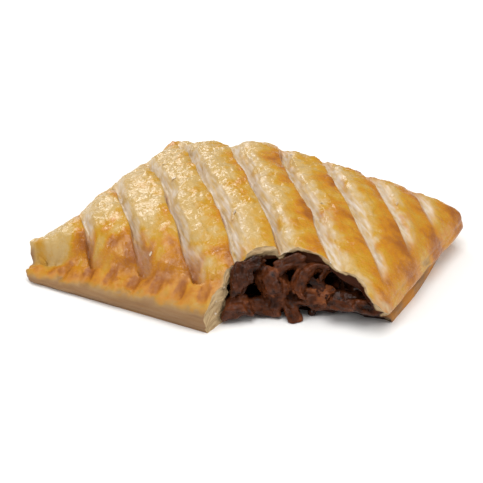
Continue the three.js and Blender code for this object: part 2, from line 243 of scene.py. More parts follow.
class SteakSliceCrumbs(bpy.types.PropertyGroup):
    """Sizes of the crumbs."""

    size: length("Crumb size", "Width of one crumb", 0.9)
    density: amount("Crumbs", "Crumbs on a square metre of torn pastry", 60000, min=0)
    seed: whole("Seed", "Start of the random draw", 11)


class SteakSliceStage(bpy.types.PropertyGroup):
    """Camera, lights and floor."""

    floor: colour("Floor", "Matt white paper under the slice", "f4f3f1")
    sky: amount("Sky", "Strength of the white surroundings", 0.28, min=0)
    key: amount("Key light", "Softbox above, behind and to the left", 3.2, min=0, subtype="POWER")
    top: amount("Top light", "Large softbox above and a little in front", 14.0, min=0, subtype="POWER")
    fill: amount("Fill light", "Softbox in front on the left", 3.2, min=0, subtype="POWER")
    side: amount("Side light", "Large softbox low on the right", 4.8, min=0, subtype="POWER")
    distance: length("Camera distance", "From the camera to the middle of the slice's base", 489)
    azimuth: amount("Azimuth", "Turn of the camera from the front", math.radians(27.74), subtype="ANGLE")
    elevation: amount("Elevation", "Camera above the table", math.radians(29.64), subtype="ANGLE")
    lens: amount("Lens", "Focal length in millimetres on a 36 mm sensor", 95.38, min=1)


# Shape functions: everything in millimetres, on arrays


def lerp(start, end, share):
    return start + (end - start) * share


def smoothstep(value, start, end):
    share = np.clip((value - start) / (end - start), 0, 1)
    return share * share * (3 - 2 * share)


def arch(share, form):
    """Rises from 0 at an edge to 1 at the crest."""
    belly, steepness = form
    return (1 - (1 - np.clip(share, 0, 1)) ** belly) ** (1 / steepness)


def bump(value, middle, spread):
    return np.exp(-(((value - middle) / spread) ** 2))


def rounded(distance, radius):
    """Drop of a rounded edge at a distance in from it."""
    share = 1 - np.clip(distance / radius, 0, 1)
    return radius * (1 - np.sqrt(1 - share * share))


def draws(cells, seed):
    """A fixed random number from 0 to 1 for each whole-numbered cell."""
    mixed = np.full(cells.shape[:-1], 977 * seed + 13, np.int64)
    for axis, prime in zip(range(cells.shape[-1]), (73856093, 19349663, 83492791)):
        mixed ^= cells[..., axis] * prime
        mixed = ((mixed ^ (mixed >> 15)) * 2246822519) & 0xFFFFFFFF
        mixed = ((mixed ^ (mixed >> 13)) * 3266489917) & 0xFFFFFFFF
    return (mixed ^ (mixed >> 16)).astype(float) / 0xFFFFFFFF


def noise(places, size, seed):
    """Smooth random rise and fall from -1 to 1, with lumps of a size; places is a tuple of coordinates."""
    cells = np.stack(np.broadcast_arrays(*places), axis=-1) / np.asarray(size, float)
    base = np.floor(cells).astype(np.int64)
    part = cells - base
    part = part * part * part * (part * (part * 6 - 15) + 10)
    total = 0
    for corner in itertools.product((0, 1), repeat=cells.shape[-1]):
        weight = np.prod(np.where(corner, part, 1 - part), axis=-1)
        total = total + weight * draws(base + np.array(corner), seed)
    return 2 * total - 1


def mottled(places, *layers):
    """Sum of layers of noise; each layer is its weight, the size of its lumps, and its seed."""
    total = 0
    for weight, size, seed in layers:
        total = total + weight * noise(places, size, seed)
    return total


def cells_around(places, cell):
    """Coordinates in units of a square cell, and each cell in and around the one they lie in."""
    spots = np.stack(places, axis=-1) / cell
    base = np.floor(spots).astype(np.int64)
    return spots, [base + np.array(step) for step in itertools.product((-1, 0, 1), repeat=2)]


def domes(places, cell, share, seed):
    """Scattered round bubbles, 0 to 1 high: one in each square cell, where a draw allows it."""
    spots, around = cells_around(places, cell)
    height = np.zeros(len(spots))
    for here in around:
        middle = here + np.stack([draws(here, seed), draws(here, seed + 1)], axis=-1)
        radius = 0.3 + 0.4 * draws(here, seed + 2)
        tall = (draws(here, seed + 3) < share) * (0.35 + 0.65 * draws(here, seed + 4))
        away = np.linalg.norm(spots - middle, axis=-1) / radius
        height = np.maximum(height, tall * np.clip(1 - away * away, 0, 1) ** 1.5)
    return height


def facets(places, cell, seed):
    """Flakes that each lie at a tilt of their own: height over the flake's middle, for a tilt of up to 1."""
    spots, around = cells_around(places, cell)
    nearest = np.full(len(spots), np.inf)
    height = np.zeros(len(spots))
    for here in around:
        away = spots - here - np.stack([draws(here, seed), draws(here, seed + 1)], axis=-1)
        tilt = 2 * np.stack([draws(here, seed + 2), draws(here, seed + 3)], axis=-1) - 1
        distance = np.linalg.norm(away, axis=-1)
        closer = distance < nearest
        height = np.where(closer, cell * (away * tilt).sum(axis=-1), height)
        nearest = np.minimum(nearest, distance)
    return height


def uneven(x, y):
    """Rise and fall of hand-folded dough."""
    slow = np.sin(x / 9.7 + 0.8) * np.cos(y / 8.3 - 0.5)
    total = UNEVENNESS * (0.65 * slow + 0.35 * np.sin((x + 1.7 * y) / 6.1 + 2.1))
    for swell in LID_SWELLS:
        across = bump(x, swell["x"], swell["spread_x"])
        total = total + swell["rise"] * across * bump(y, swell["y"], swell["spread_y"])
    return total


def from_front(y):
    return y + WIDTH / 2


def from_back(y):
    return WIDTH / 2 - y


def from_end(x, y):
    return LENGTH / 2 - np.abs(x - SHEAR * y)


def rim_height(x):
    return lerp(RIM_LEFT_HEIGHT, RIM_RIGHT_HEIGHT, smoothstep(x, -LENGTH / 2, 8))


def rim_width(x):
    return lerp(RIM_LEFT_WIDTH, RIM_WIDTH, smoothstep(x, -LENGTH / 2, -LENGTH / 3))


def smooth_lid(x, y):
    """Height of the lid before it is slashed."""
    front, back = from_front(y), from_back(y)
    rim_back = rim_width(x)
    dome_front = rim_back + 1
    lengthwise = arch(from_end(x, y) / END_RUN, END_ARCH)
    rise = arch((front - dome_front) / (CREST_FROM_FRONT - dome_front), FRONT_ARCH)
    fall = arch(back / (WIDTH - CREST_FROM_FRONT), BACK_ARCH)
    crosswise = np.where(front < CREST_FROM_FRONT, rise, fall)
    dome = (CREST_HEIGHT - RIB_CROWN - EDGE_HEIGHT) * lengthwise * crosswise
    slope = np.sin(math.pi / 2 * np.clip(front / rim_back, 0, 1))
    rim = rim_height(x) * lerp(RIM_WALL_SHARE, 1, slope)
    inward = smoothstep(x, -LENGTH / 2, -LENGTH / 3)
    foot_back = rim_back + lerp(FOOT_LEFT_RUN, FOOT_RUN, inward)
    foot = lerp(rim, EDGE_HEIGHT, smoothstep(front, rim_back - 1, foot_back))
    groove = lerp(RIM_LEFT_GROOVE, RIM_GROOVE, inward) * bump(front, dome_front, RIM_GROOVE_SPREAD)
    fillet = FILLET_RISE * inward * bump(front, rim_back + FILLET_FROM, FILLET_SPREAD)
    blunt = CORNER_BLUNT * bump(y, CORNER_PUFF_AT, CORNER_PUFF_SPREAD)
    end_shoulder = np.where(x > 0, RIGHT_SHOULDER, SHOULDER - blunt)
    edges = rounded(from_end(x, y), end_shoulder) + rounded(back, SHOULDER)
    return foot + dome - groove + fillet - edges + uneven(x, y)


def diagonals(x, y):
    """Places across the slashes and along them."""
    return (x + y) / math.sqrt(2), (x - y) / math.sqrt(2)


def slash_place(x, y):
    """Number of the nearest slash, distance to its right, and place along it."""
    across, along = diagonals(x, y)
    bend = SLASH_BEND * bump(across, SLASH_BEND_AT, SLASH_BEND_SPREAD) * smoothstep(-along, 12, 45)
    place = (across - bend - SLASH_OFFSET + SLASH_LEAN * along) / SLASH_PITCH
    number = np.round(place)
    wander = mottled((along, number * 31.0), (0.9, 17, 3), (0.35, 5, 4))
    return number, (place - number) * SLASH_PITCH + wander, along


def slash_reach(x, y):
    """1 where the slashes are open, 0 along the edges where they end."""
    front = smoothstep(from_front(y), *SLASH_FADE["front"])
    back = smoothstep(from_back(y), *SLASH_FADE["back"])
    return front * back * smoothstep(from_end(x, y), *SLASH_FADE["end"])


def slash_form(x, y):
    """How deep a point lies in a slash, how far the rib is puffed, how bare the leaf is, and the crack, which
    is also painted dark as shade.

    The left rib overhangs its slash, so that bank is steep; the right bank climbs in torn leaves."""
    number, offset, along = slash_place(x, y)
    spread = (1 + 0.25 * noise((along, number * 17.0), 13, 5)) * lerp(0.85, 1, smoothstep(x, -50, 0))
    offset = offset / spread
    steps = offset + 0.2 * np.sin(2 * math.pi * offset / 1.5 + 2 * noise((along, number * 9.0), 9, 6))
    left = 1 - smoothstep(-offset, 1.0, 2.1)
    right = 1 - smoothstep(steps, -0.2, 3.5)
    depth = np.where(offset < 0, left, right)
    puff = arch(2 * np.abs(offset) / SLASH_PITCH, RIB_ARCH)
    edge = 1.2 * noise((along, number * 13.0), 5, 7) + 0.35 * noise((along, number * 19.0), 1.5, 9)
    bare = (1 - smoothstep(-offset, 1.2, 1.9)) * (1 - smoothstep(offset + edge, 1.3, 3.2))
    crack = bump(offset, -1.0, 0.5) * smoothstep(noise((along, number * 23.0), 11, 8), -0.25, 0.35)
    return depth, puff, bare, crack


def crimp_dent(x, y):
    """Share of the press marks' depth along the front rim."""
    dent = np.zeros_like(x)
    for i in range(CRIMP_COUNT):
        turn = CRIMP_TURN * math.sin(i * 2.3)
        dx = x - (CRIMP_FIRST + i * CRIMP_PITCH)
        dy = from_front(y) - RIM_WIDTH / 2
        side = np.abs(dx * math.cos(turn) + dy * math.sin(turn))
        reach = np.abs(dy * math.cos(turn) - dx * math.sin(turn))
        inside = 1 - smoothstep(side, CRIMP_WIDTH / 2 - 1.5, CRIMP_WIDTH / 2 + 0.9)
        inside = inside * (1 - smoothstep(reach, CRIMP_REACH / 2 - 1.9, CRIMP_REACH / 2 + 1.6))
        dent = np.maximum(dent, inside)
    return dent


def cross_creases(x, y):
    """Steps where a rib broke across and its lower part sank, each fading out along the rib."""
    sunk = np.zeros_like(x)
    slash, offset, along = slash_place(x, y)
    for number, place, drop in CROSS_CREASES:
        on_rib = bump(slash * SLASH_PITCH + offset, (number + 0.5) * SLASH_PITCH, 6.5)
        below = along - place - 0.25 * offset
        sunk = sunk + drop * on_rib * smoothstep(below, -0.5, 0.5) * (1 - smoothstep(below, 1, 9))
    return sunk


def glaze_relief(x, y, blister, wrinkle):
    """Bubbles, folds and flakes of the glazed ribs."""
    across, along = diagonals(x, y)
    _, offset, _ = slash_place(x, y)
    bubbles = domes((across, along / 1.35), 6.5, 0.55, 20) + 0.5 * domes((across, along / 1.2), 3.2, 0.45, 30)
    bend = 1.4 * noise((x, y), 5, 41)
    folds = 1 - np.abs(noise((across + bend, along / 1.1 - 1.6 * bend), 2.3, 42))
    fine_folds = 1 - np.abs(noise((across - 1.5 * bend, along + bend), 1.35, 49))
    flank = bump(offset + 1.5 * noise((x, y), 5, 39), 5.0, 2.8) * smoothstep(noise((x, y), 7, 48), -0.5, 0.1)
    folded = np.maximum(smoothstep(noise((x, y), 13, 43), -0.2, 0.5), 0.85 * flank)
    swell = mottled((x, y), (0.45, 8, 44), (0.25, 4.2, 38))
    wrinkles = (1.7 * folds * folds + 1.1 * fine_folds * fine_folds) * folded - 0.6
    flakes = 0.14 * facets((across + bend, along / 1.5), 3.1, 33)
    flakes = flakes + 0.12 * facets((across, along - bend), 1.7, 37)
    return blister * bubbles + wrinkle * wrinkles + swell + flakes - cross_creases(x, y)


def lid(x, y, blister, wrinkle):
    """Height of the finished lid: slashes, puffed ribs, crimps, and the bubbles and folds of the glaze."""
    depth, puff, bare, crack = slash_form(x, y)
    open_share = slash_reach(x, y)
    shallow = lerp(1, RIGHT_FLATNESS, smoothstep(x, 20, 58))
    slashes = (SLASH_DEPTH * depth + CRACK_DEPTH * crack - RIB_CROWN * puff) * open_share * shallow
    glazed = 1 - bare * open_share
    front = from_front(y)
    inner = smoothstep(from_end(x, y), 0, 3) * smoothstep(from_back(y), 0, 3) * smoothstep(front, 0, 2)
    leaves = 0.16 * noise(diagonals(x, y), (1.3, 9), 45)
    dent = CRIMP_DEPTH * crimp_dent(x, y)
    rise = glazed * glaze_relief(x, y, blister, wrinkle) * shallow + (1 - glazed) * leaves
    near_rim = 1 - smoothstep(front, 9, 16)
    lumps = near_rim * mottled((x, y), (0.7, 6.5, 46), (0.35, 3, 47)) * smoothstep(front, 0, 4)
    soft_edge = rounded(front, 2.4) * 0.6
    left_end = (1 - smoothstep(x, -58, -38)) * (1 - smoothstep(front, 12, 18))
    shift = left_end * mottled((x, y), (1.7, 6, 34), (1.0, 3, 35))
    return smooth_lid(x, y + shift) - slashes - dent + inner * rise + lumps - soft_edge


def plan(u, v, low, high):
    """A rounded rectangle before the shear: the grid's square corner is drawn onto the corner's arc."""
    x = lerp(low[0], high[0], (u + 1) / 2)
    y = lerp(low[1], high[1], (v + 1) / 2)
    in_x = np.maximum(np.maximum(low[0] + CORNER_RADIUS - x, x - high[0] + CORNER_RADIUS), 0) / CORNER_RADIUS
    in_y = np.maximum(np.maximum(low[1] + CORNER_RADIUS - y, y - high[1] + CORNER_RADIUS), 0) / CORNER_RADIUS
    pull_x = CORNER_RADIUS * in_x * (1 - np.sqrt(1 - in_y * in_y / 2))
    pull_y = CORNER_RADIUS * in_y * (1 - np.sqrt(1 - in_x * in_x / 2))
    return x - np.sign(u) * pull_x, y - np.sign(v) * pull_y


def facing(x, y, low, high):
    """Which way a point of the outline faces."""
    out_x = np.maximum(x - high[0] + CORNER_RADIUS, 0) + np.minimum(x - low[0] - CORNER_RADIUS, 0)
    out_y = np.maximum(y - high[1] + CORNER_RADIUS, 0) + np.minimum(y - low[1] - CORNER_RADIUS, 0)
    size = np.maximum(np.hypot(out_x, out_y), 1e-9)
    return out_x / size, out_y / size


def side_swell(out_x, out_y, y, level):
    """How far the side wall stands out from the lid's edge."""
    lip = LIP * bump(level, LIP_LEVEL, LIP_SPREAD) * smoothstep(from_front(y), 2, RIM_WIDTH)
    closed = np.where(out_x > 0, smoothstep(y, 5, 30), 0)
    corner = np.where(out_x < 0, bump(y, CORNER_PUFF_AT, CORNER_PUFF_SPREAD), 0)
    seam_spread = SEAM_SPREAD * (1 + 0.8 * corner)
    seam = bump(level, SEAM_LEVEL + CORNER_SEAM_RISE * corner, seam_spread) * (1 - closed)
    seam = SEAM_DEPTH * (1 + corner) * seam
    furthest = np.where(out_x > 0, RIGHT_SETBACK, LEFT_SETBACK)
    setback = furthest * smoothstep(y, 0, WIDTH / 2) * (1 - smoothstep(level, 0, LIP_LEVEL))
    lip = lip + CORNER_PUFF * corner * bump(level, CORNER_PUFF_LEVEL, LIP_SPREAD)
    tuck = FOLD_TUCK * (1 - smoothstep(level, 0, FOLD_LEVEL))
    fold = LIP * bump(level, FOLD_LEVEL, FOLD_SPREAD) - tuck
    return out_x * out_x * (lip - seam - setback) + np.maximum(out_y, 0) ** 2 * fold


def bite_radius(bite, height):
    return lerp(bite["bottom"], bite["top"], height / BITE_TOP)


def into_bites(x, y, z):
    """Distance from each round of the bite; below zero inside it."""
    return [np.hypot(x - bite["x"], y - bite["y"]) - bite_radius(bite, z) for bite in BITES]


# Meshes


def grid_faces(at):
    """Squares between the points of a grid of point numbers, and the numbers round its edge."""
    squares = np.stack([at[:-1, :-1], at[:-1, 1:], at[1:, 1:], at[1:, :-1]], axis=-1).reshape(-1, 4)
    return squares, np.concatenate([at[0, :-1], at[:-1, -1], at[-1, :0:-1], at[:0:-1, 0]])


def wall_faces(upper, lower):
    """Squares between two loops of point numbers."""
    return np.stack([upper, lower, np.roll(lower, -1), np.roll(upper, -1)], axis=-1)


def moulded(columns, rows, skin, rings):
    """Points and faces of a closed solid: a gridded skin, rings of wall below its edge, and a flat base."""
    u, v = np.meshgrid(np.linspace(-1, 1, columns + 1), np.linspace(-1, 1, rows + 1))
    layers = [skin(u.ravel(), v.ravel())]
    squares, edge = grid_faces(np.arange(u.size).reshape(u.shape))
    faces = [squares]
    upper = edge
    for ring in rings(layers[0][edge]):
        lower = sum(map(len, layers)) + np.arange(len(edge))
        layers.append(ring)
        faces.append(wall_faces(upper, lower))
        upper = lower
    return np.concatenate(layers), np.concatenate(faces).tolist() + [upper[::-1].tolist()]


def mesh_object(name, points, faces):
    mesh = bpy.data.meshes.new(name)
    mesh.from_pydata((np.asarray(points) * MM).tolist(), [], faces)
    thing = bpy.data.objects.new(name, mesh)
    bpy.context.scene.collection.objects.link(thing)
    return thing


def unit_ball(subdivisions):
    """Points and faces of a ball of radius 1."""
    build = bmesh.new()
    bmesh.ops.create_icosphere(build, subdivisions=subdivisions, radius=1)
    build.verts.index_update()
    points = np.array([v.co for v in build.verts])
    faces = [[v.index for v in face.verts] for face in build.faces]
    build.free()
    return points, faces


def baked(thing):
    """Turns an object's live modifiers into its plain mesh."""
    graph = bpy.context.evaluated_depsgraph_get()
    mesh = bpy.data.meshes.new_from_object(thing.evaluated_get(graph))
    thing.modifiers.clear()
    old = thing.data
    thing.data = mesh
    bpy.data.meshes.remove(old)
    mesh.name = thing.name


def discard(thing):
    mesh = thing.data
    bpy.data.objects.remove(thing)
    bpy.data.meshes.remove(mesh)


def combined(thing, other, operation):
    """Cuts or joins two closed meshes; the second one is used up."""
    cut = thing.modifiers.new(operation, "BOOLEAN")
    cut.operation = operation
    cut.solver = "MANIFOLD"
    cut.object = other
    cut.material_mode = "TRANSFER"
    baked(thing)
    discard(other)
    if not thing.data.polygons:
        raise RuntimeError(f"{thing.name}: {operation} left nothing")


def cleaned(thing):
    """Merges points at one place, and drops faces that lie back to back and parts that hang loose."""
    build = bmesh.new()
    build.from_mesh(thing.data)
    bmesh.ops.triangulate(build, faces=build.faces)
    bmesh.ops.remove_doubles(build, verts=build.verts, dist=SAME_PLACE * MM)
    corners = {}
    for face in build.faces:
        corners.setdefault(frozenset(face.verts), []).append(face)
    doubled = [face for same in corners.values() if len(same) > 1 for face in same]
    bmesh.ops.delete(build, geom=doubled, context="FACES")
    left = set(build.faces)
    parts = []
    while left:
        part = {left.pop()}
        border = list(part)
        while border:
            beside = {face for edge in border.pop().edges for face in edge.link_faces} & left
            left -= beside
            part |= beside
            border.extend(beside)
        parts.append(part)
    body = max(parts, key=len)
    bmesh.ops.delete(build, geom=[face for face in build.faces if face not in body], context="FACES")
    build.to_mesh(thing.data)
    build.free()


def points_of(thing):
    """An object's points in millimetres."""
    flat = np.empty(3 * len(thing.data.vertices), np.float32)
    thing.data.vertices.foreach_get("co", flat)
    return flat.reshape(-1, 3).astype(float) / MM


def normals_of(thing):
    flat = np.empty(3 * len(thing.data.vertices), np.float32)
    thing.data.vertex_normals.foreach_get("vector", flat)
    return flat.reshape(-1, 3).astype(float)


def set_points(thing, points):
    thing.data.vertices.foreach_set("co", (points * MM).astype(np.float32).ravel())
    thing.data.update()


def set_values(thing, name, values):
    """Stores one number or one triple for each point."""
    kind, key = ("FLOAT", "value") if values.ndim == 1 else ("FLOAT_VECTOR", "vector")
    layer = thing.data.attributes.new(name, kind, "POINT")
    layer.data.foreach_set(key, values.astype(np.float32).ravel())


def smooth_faces(thing, sharpest):
    thing.data.polygons.foreach_set("use_smooth", [True] * len(thing.data.polygons))
    thing.data.set_sharp_from_angle(angle=math.radians(sharpest))


def block_object(name, low, high):
    """A plain block between two corners."""
    corners = np.array(list(itertools.product(*zip(low, high))), float)
    faces = [[0, 1, 3, 2], [4, 6, 7, 5], [0, 4, 5, 1], [2, 3, 7, 6], [0, 2, 6, 4], [1, 5, 7, 3]]
    return mesh_object(name, corners, faces)


def cavity_object(name, cell, margin, slump=0):
    """The space for the filling, drawn in by a margin; its roof sinks by a slump beside the bite."""
    low = np.array([-LENGTH / 2 + LEFT_WALL, -WIDTH / 2 + FRONT_WALL]) + margin
    high = np.array([LENGTH / 2 - RIGHT_WALL, WIDTH / 2 - BACK_WALL]) - margin
    first = BITES[0]

    def skin(u, v):
        x, y = plan(u, v, low, high)
        x = x + SHEAR * y
        away = np.hypot(x - first["x"], y - first["y"]) - first["top"]
        drop = slump * (1 - smoothstep(away, 0, SLUMP_REACH))
        return np.stack([x, y, smooth_lid(x, y) - CRUST - 2 * margin - drop], axis=-1)

    def rings(edge):
        yield np.stack([edge[:, 0], edge[:, 1], np.full(len(edge), BASE_CRUST + margin)], axis=-1)

    columns, rows = np.round((high - low) / cell).astype(int)
    return mesh_object(name, *moulded(columns, rows, skin, rings))


def bite_object(name, bite, step, inset, ragged):
    """One round of the bite: a cone, a little square in plan, with the marks of the teeth.

    Where ragged is 1 its face also follows the torn leaves of the pastry."""
    low, high = -BITE_OVERRUN, BITE_TOP + BITE_OVERRUN
    around = int(2 * math.pi * bite["bottom"] / step)
    up = int((high - low) / step)
    turns = np.linspace(0, 2 * math.pi, around, endpoint=False)
    angle, z = np.meshgrid(turns, np.linspace(low, high, up + 1))
    angle, z = angle.ravel(), z.ravel()
    turn = np.arctan2(np.sin(angle), np.cos(angle))
    power = bite["squareness"]
    square = (np.abs(np.cos(turn)) ** power + np.abs(np.sin(turn)) ** power) ** (-1 / power)
    marks = TOOTH_MARK * np.abs(np.sin(turn * bite["teeth"] / 2 + 0.4))
    tear = TEAR * np.sin(z * 0.71 + turn * 9) * np.cos(z * 0.43 - turn * 5)
    reach = np.maximum(bite_radius(bite, z) - inset, 1) * square + marks + tear
    x, y = bite["x"] + reach * np.cos(angle), bite["y"] + reach * np.sin(angle)
    in_x, in_y = LENGTH / 2 - 1, WIDTH / 2 - 1
    below = smooth_lid(np.clip(x, -in_x, in_x), np.clip(y, -in_y, in_y)) - z
    leaf = noise((x, y, np.where(below < LID_LEAVES, below, z)), (7, 7, 1.0), 50)
    leaf = leaf + 0.6 * noise((x, y, below), (2.2, 2.2, 0.8), 51)
    reach = reach + ragged * (0.3 * leaf + 0.5 * noise((x, y, z), 3.1, 52))
    points = np.stack([bite["x"] + reach * np.cos(angle), bite["y"] + reach * np.sin(angle), z], axis=-1)
    at = np.arange(len(points)).reshape(up + 1, around)
    right = np.roll(at, -1, axis=1)
    faces = np.stack([at[:-1], right[:-1], right[1:], at[1:]], axis=-1).reshape(-1, 4).tolist()
    return mesh_object(name, points, faces + [at[0, ::-1].tolist(), at[-1].tolist()])


def with_bites(thing, operation, step, inset, ragged=0, material=None):
    """Cuts the rounds of the bite out of a mesh, or joins them to it."""
    for number, bite in enumerate(BITES):
        cutter = bite_object(f"bite_{number}", bite, step, inset, ragged)
        if material:
            cutter.data.materials.append(material)
        combined(thing, cutter, operation)


# Materials

NOISE = "ShaderNodeTexNoise"
RANGE = "ShaderNodeMapRange"
MATH = "ShaderNodeMath"
MIX = "ShaderNodeMix"
MAPPING = "ShaderNodeMapping"
ATTRIBUTE = "ShaderNodeAttribute"
BUMP = "ShaderNodeBump"
# Places of the number and colour sockets on a Mix node
NUMBER_A, NUMBER_B, MIX_A, MIX_B, MIXED = 2, 3, 6, 7, 2
# What the crust stores at each point for its material
CRUST_VALUES = ("toast", "bare", "peeled", "side", "matt", "stain", "crack")
# Place of the torn pastry among the crust's materials
TORN_SLOT = 2


def add_node(tree, kind, inputs=None, **settings):
    """Adds one node with its settings.

    Each input is a value, a socket to link from, or a node whose first output is linked."""
    node = tree.nodes.new(kind)
    for name, value in settings.items():
        setattr(node, name, value)
    for name, value in (inputs or {}).items():
        if isinstance(value, bpy.types.Node):
            value = value.outputs[0]
        if isinstance(value, bpy.types.NodeSocket):
            tree.links.new(value, node.inputs[name])
        else:
            node.inputs[name].default_value = value
    return node


def per_mm(size):
    """Texture scale on Object coordinates, which are metres, for a feature of a size in millimetres."""
    return 1 / (size * MM)


def new_material(name):
    """An empty material, its nodes, and a socket with Object coordinates."""
    material = bpy.data.materials.new(name)
    material.use_nodes = True
    tree = material.node_tree
    tree.nodes.clear()
    return material, tree, add_node(tree, "ShaderNodeTexCoord").outputs["Object"]


def coated(tree, ground, *coats):
    """Colour of a ground under coats of other colours; each coat is a share and a colour."""
    for share, coat in coats:
        mix = add_node(tree, MIX, {0: share, MIX_A: ground, MIX_B: coat}, data_type="RGBA")
        ground = mix.outputs[MIXED]
    return ground


def finish_material(tree, base, roughness, normal, **constants):
    """Ends a material in one Principled shader; constants are set on its own sockets."""
    inputs = {"Base Color": base, "Roughness": roughness, "Normal": normal}
    inputs.update({key.replace("_", " "): value for key, value in constants.items()})
    shader = add_node(tree, "ShaderNodeBsdfPrincipled", inputs)
    add_node(tree, "ShaderNodeOutputMaterial", {"Surface": shader})


def glazed_pastry_material(crust):
    """Puff pastry brushed with egg and baked: a smooth, blistered glaze, golden with orange-brown patches,
    over dull pale leaves in the slashes and on the cut sides."""
    material, tree, place = new_material("egg_glazed_baked_puff_pastry")
    value = {name: add_node(tree, ATTRIBUTE, attribute_name=name).outputs["Fac"] for name in CRUST_VALUES}
    patches = add_node(tree, NOISE, {"Vector": place, "Scale": per_mm(7), "Detail": 4.0, "Roughness": 0.6})
    specks = add_node(tree, NOISE, {"Vector": place, "Scale": per_mm(1.6), "Detail": 3.0, "Roughness": 0.65})
    along_slash = {"Vector": place, "Rotation": (0, 0, math.radians(-45)), "Scale": (8.0, 1.0, 1.0)}
    streaks = add_node(tree, MAPPING, along_slash, vector_type="TEXTURE")
    streak = add_node(tree, NOISE, {"Vector": streaks, "Scale": per_mm(1.1), "Detail": 2.0})
    layered = add_node(tree, MAPPING, {"Vector": place, "Scale": (0.13, 0.13, 1.0)})
    layer = add_node(tree, NOISE, {"Vector": layered, "Scale": per_mm(1.1), "Detail": 3.0})

    # How far the glaze is baked, with painted shade on the lower ribs and the rim, and the colours that come
    # with it
    spread = add_node(tree, MATH, {0: patches, 1: 0.9, 2: -0.45}, operation="MULTIPLY_ADD")
    speckle = add_node(tree, MATH, {0: specks, 1: 0.8, 2: -0.4}, operation="MULTIPLY_ADD")
    uneven_bake = add_node(tree, MATH, {0: spread, 1: speckle}, operation="ADD")
    bake = add_node(tree, MATH, {0: value["toast"], 1: uneven_bake}, operation="ADD")
    golden = add_node(tree, RANGE, {"Value": bake, "From Min": 0.0, "From Max": 0.42})
    toasted = add_node(tree, RANGE, {"Value": bake, "From Min": 0.42, "From Max": 0.92})
    dark = add_node(tree, RANGE, {"Value": bake, "From Min": 0.9, "From Max": 1.5})
    leaf_light = add_node(tree, RANGE, {"Value": streak, "From Min": 0.3, "From Max": 0.7})
    bare = coated(tree, crust.pale_gold, (leaf_light, crust.bare_leaf))
    layer_light = add_node(tree, RANGE, {"Value": layer, "From Min": 0.35, "From Max": 0.68, "To Max": 0.14})
    wall_bake = add_node(tree, RANGE, {"Value": bake, "From Min": 0.3, "From Max": 1.1})
    wall = coated(tree, crust.wall, (layer_light, crust.crumb), (wall_bake, crust.toasted))
    tone = coated(
        tree,
        crust.pale_gold,
        (golden, crust.gold),
        (toasted, crust.toasted),
        (dark, crust.dark_toast),
        (value["bare"], bare),
        (value["peeled"], crust.crumb),
        (value["side"], wall),
        # painted shade in the slashes' cracks and creases
        (value["crack"], crust.dark_toast),
        (value["stain"], crust.gravy),
    )

    # The glaze shines where the leaves are dull, and has fine creases where they have edges
    glossy = {"Value": specks, "From Min": 0.3, "From Max": 0.7, "To Min": 0.14, "To Max": 0.44}
    gloss = add_node(tree, RANGE, glossy)
    matt = add_node(tree, RANGE, {"Value": specks, "To Min": 0.48, "To Max": 0.75})
    roughness = add_node(tree, MIX, {0: value["matt"], NUMBER_A: gloss, NUMBER_B: matt}, data_type="FLOAT")
    creases = add_node(tree, NOISE, {"Vector": place, "Scale": per_mm(1.0), "Detail": 2.0, "Distortion": 0.8})
    edges = add_node(tree, MATH, {0: layer, 1: 0.45}, operation="MULTIPLY")
    relief = add_node(tree, MIX, {0: value["matt"], NUMBER_A: creases, NUMBER_B: edges}, data_type="FLOAT")
    normal = add_node(tree, BUMP, {"Height": relief, "Strength": 0.55, "Distance": 0.35 * MM})
    finish_material(tree, tone, roughness, normal, IOR=1.48, Specular_IOR_Level=0.5)
    return material


def crumb_material(crust):
    """Torn puff pastry: dry, pale cream leaves with darker gaps, soaked with gravy near the filling."""
    material, tree, place = new_material("torn_puff_pastry_crumb")
    stain = add_node(tree, ATTRIBUTE, attribute_name="stain").outputs["Fac"]
    depth = add_node(tree, ATTRIBUTE, attribute_name="leafdepth").outputs["Vector"]
    leaves = add_node(tree, NOISE, {"Vector": depth, "Scale": 1.1, "Detail": 3.0, "Roughness": 0.6})
    pores = add_node(tree, NOISE, {"Vector": place, "Scale": per_mm(1.3), "Detail": 3.0})
    light = add_node(tree, RANGE, {"Value": leaves, "From Min": 0.2, "From Max": 0.58})
    soak = add_node(tree, MATH, {0: pores, 1: 0.5, 2: -0.25}, operation="MULTIPLY_ADD")
    soaked = add_node(tree, MATH, {0: stain, 1: soak}, operation="ADD", use_clamp=True)
    edge = add_node(tree, RANGE, {"Value": soaked, "From Min": 0.25, "From Max": 0.75})
    tone = coated(tree, crust.wall, (light, crust.crumb), (edge, crust.gravy))
    roughness = add_node(tree, RANGE, {"Value": soaked, "To Min": 0.72, "To Max": 0.35})
    height = add_node(tree, MATH, {0: leaves, 1: pores}, operation="ADD")
    normal = add_node(tree, BUMP, {"Height": height, "Strength": 0.45, "Distance": 0.5 * MM})
    finish_material(tree, tone, roughness, normal, IOR=1.45, Specular_IOR_Level=0.1)
    return material


def soaked_pastry_material(crust):
    """Inside of the crust, soaked with gravy: dark brown, smooth and half wet."""
    material, tree, place = new_material("gravy_soaked_pastry")
    cloud = add_node(tree, NOISE, {"Vector": place, "Scale": per_mm(4), "Detail": 4.0})
    share = add_node(tree, RANGE, {"Value": cloud, "From Min": 0.55, "From Max": 0.9})
    tone = coated(tree, crust.gravy, (share, crust.dark_toast))
    roughness = add_node(tree, RANGE, {"Value": cloud, "To Min": 0.45, "To Max": 0.75})
    normal = add_node(tree, BUMP, {"Height": cloud, "Strength": 0.6, "Distance": 0.8 * MM})
    finish_material(tree, tone, roughness, normal, IOR=1.4, Specular_IOR_Level=0.2)
    return material


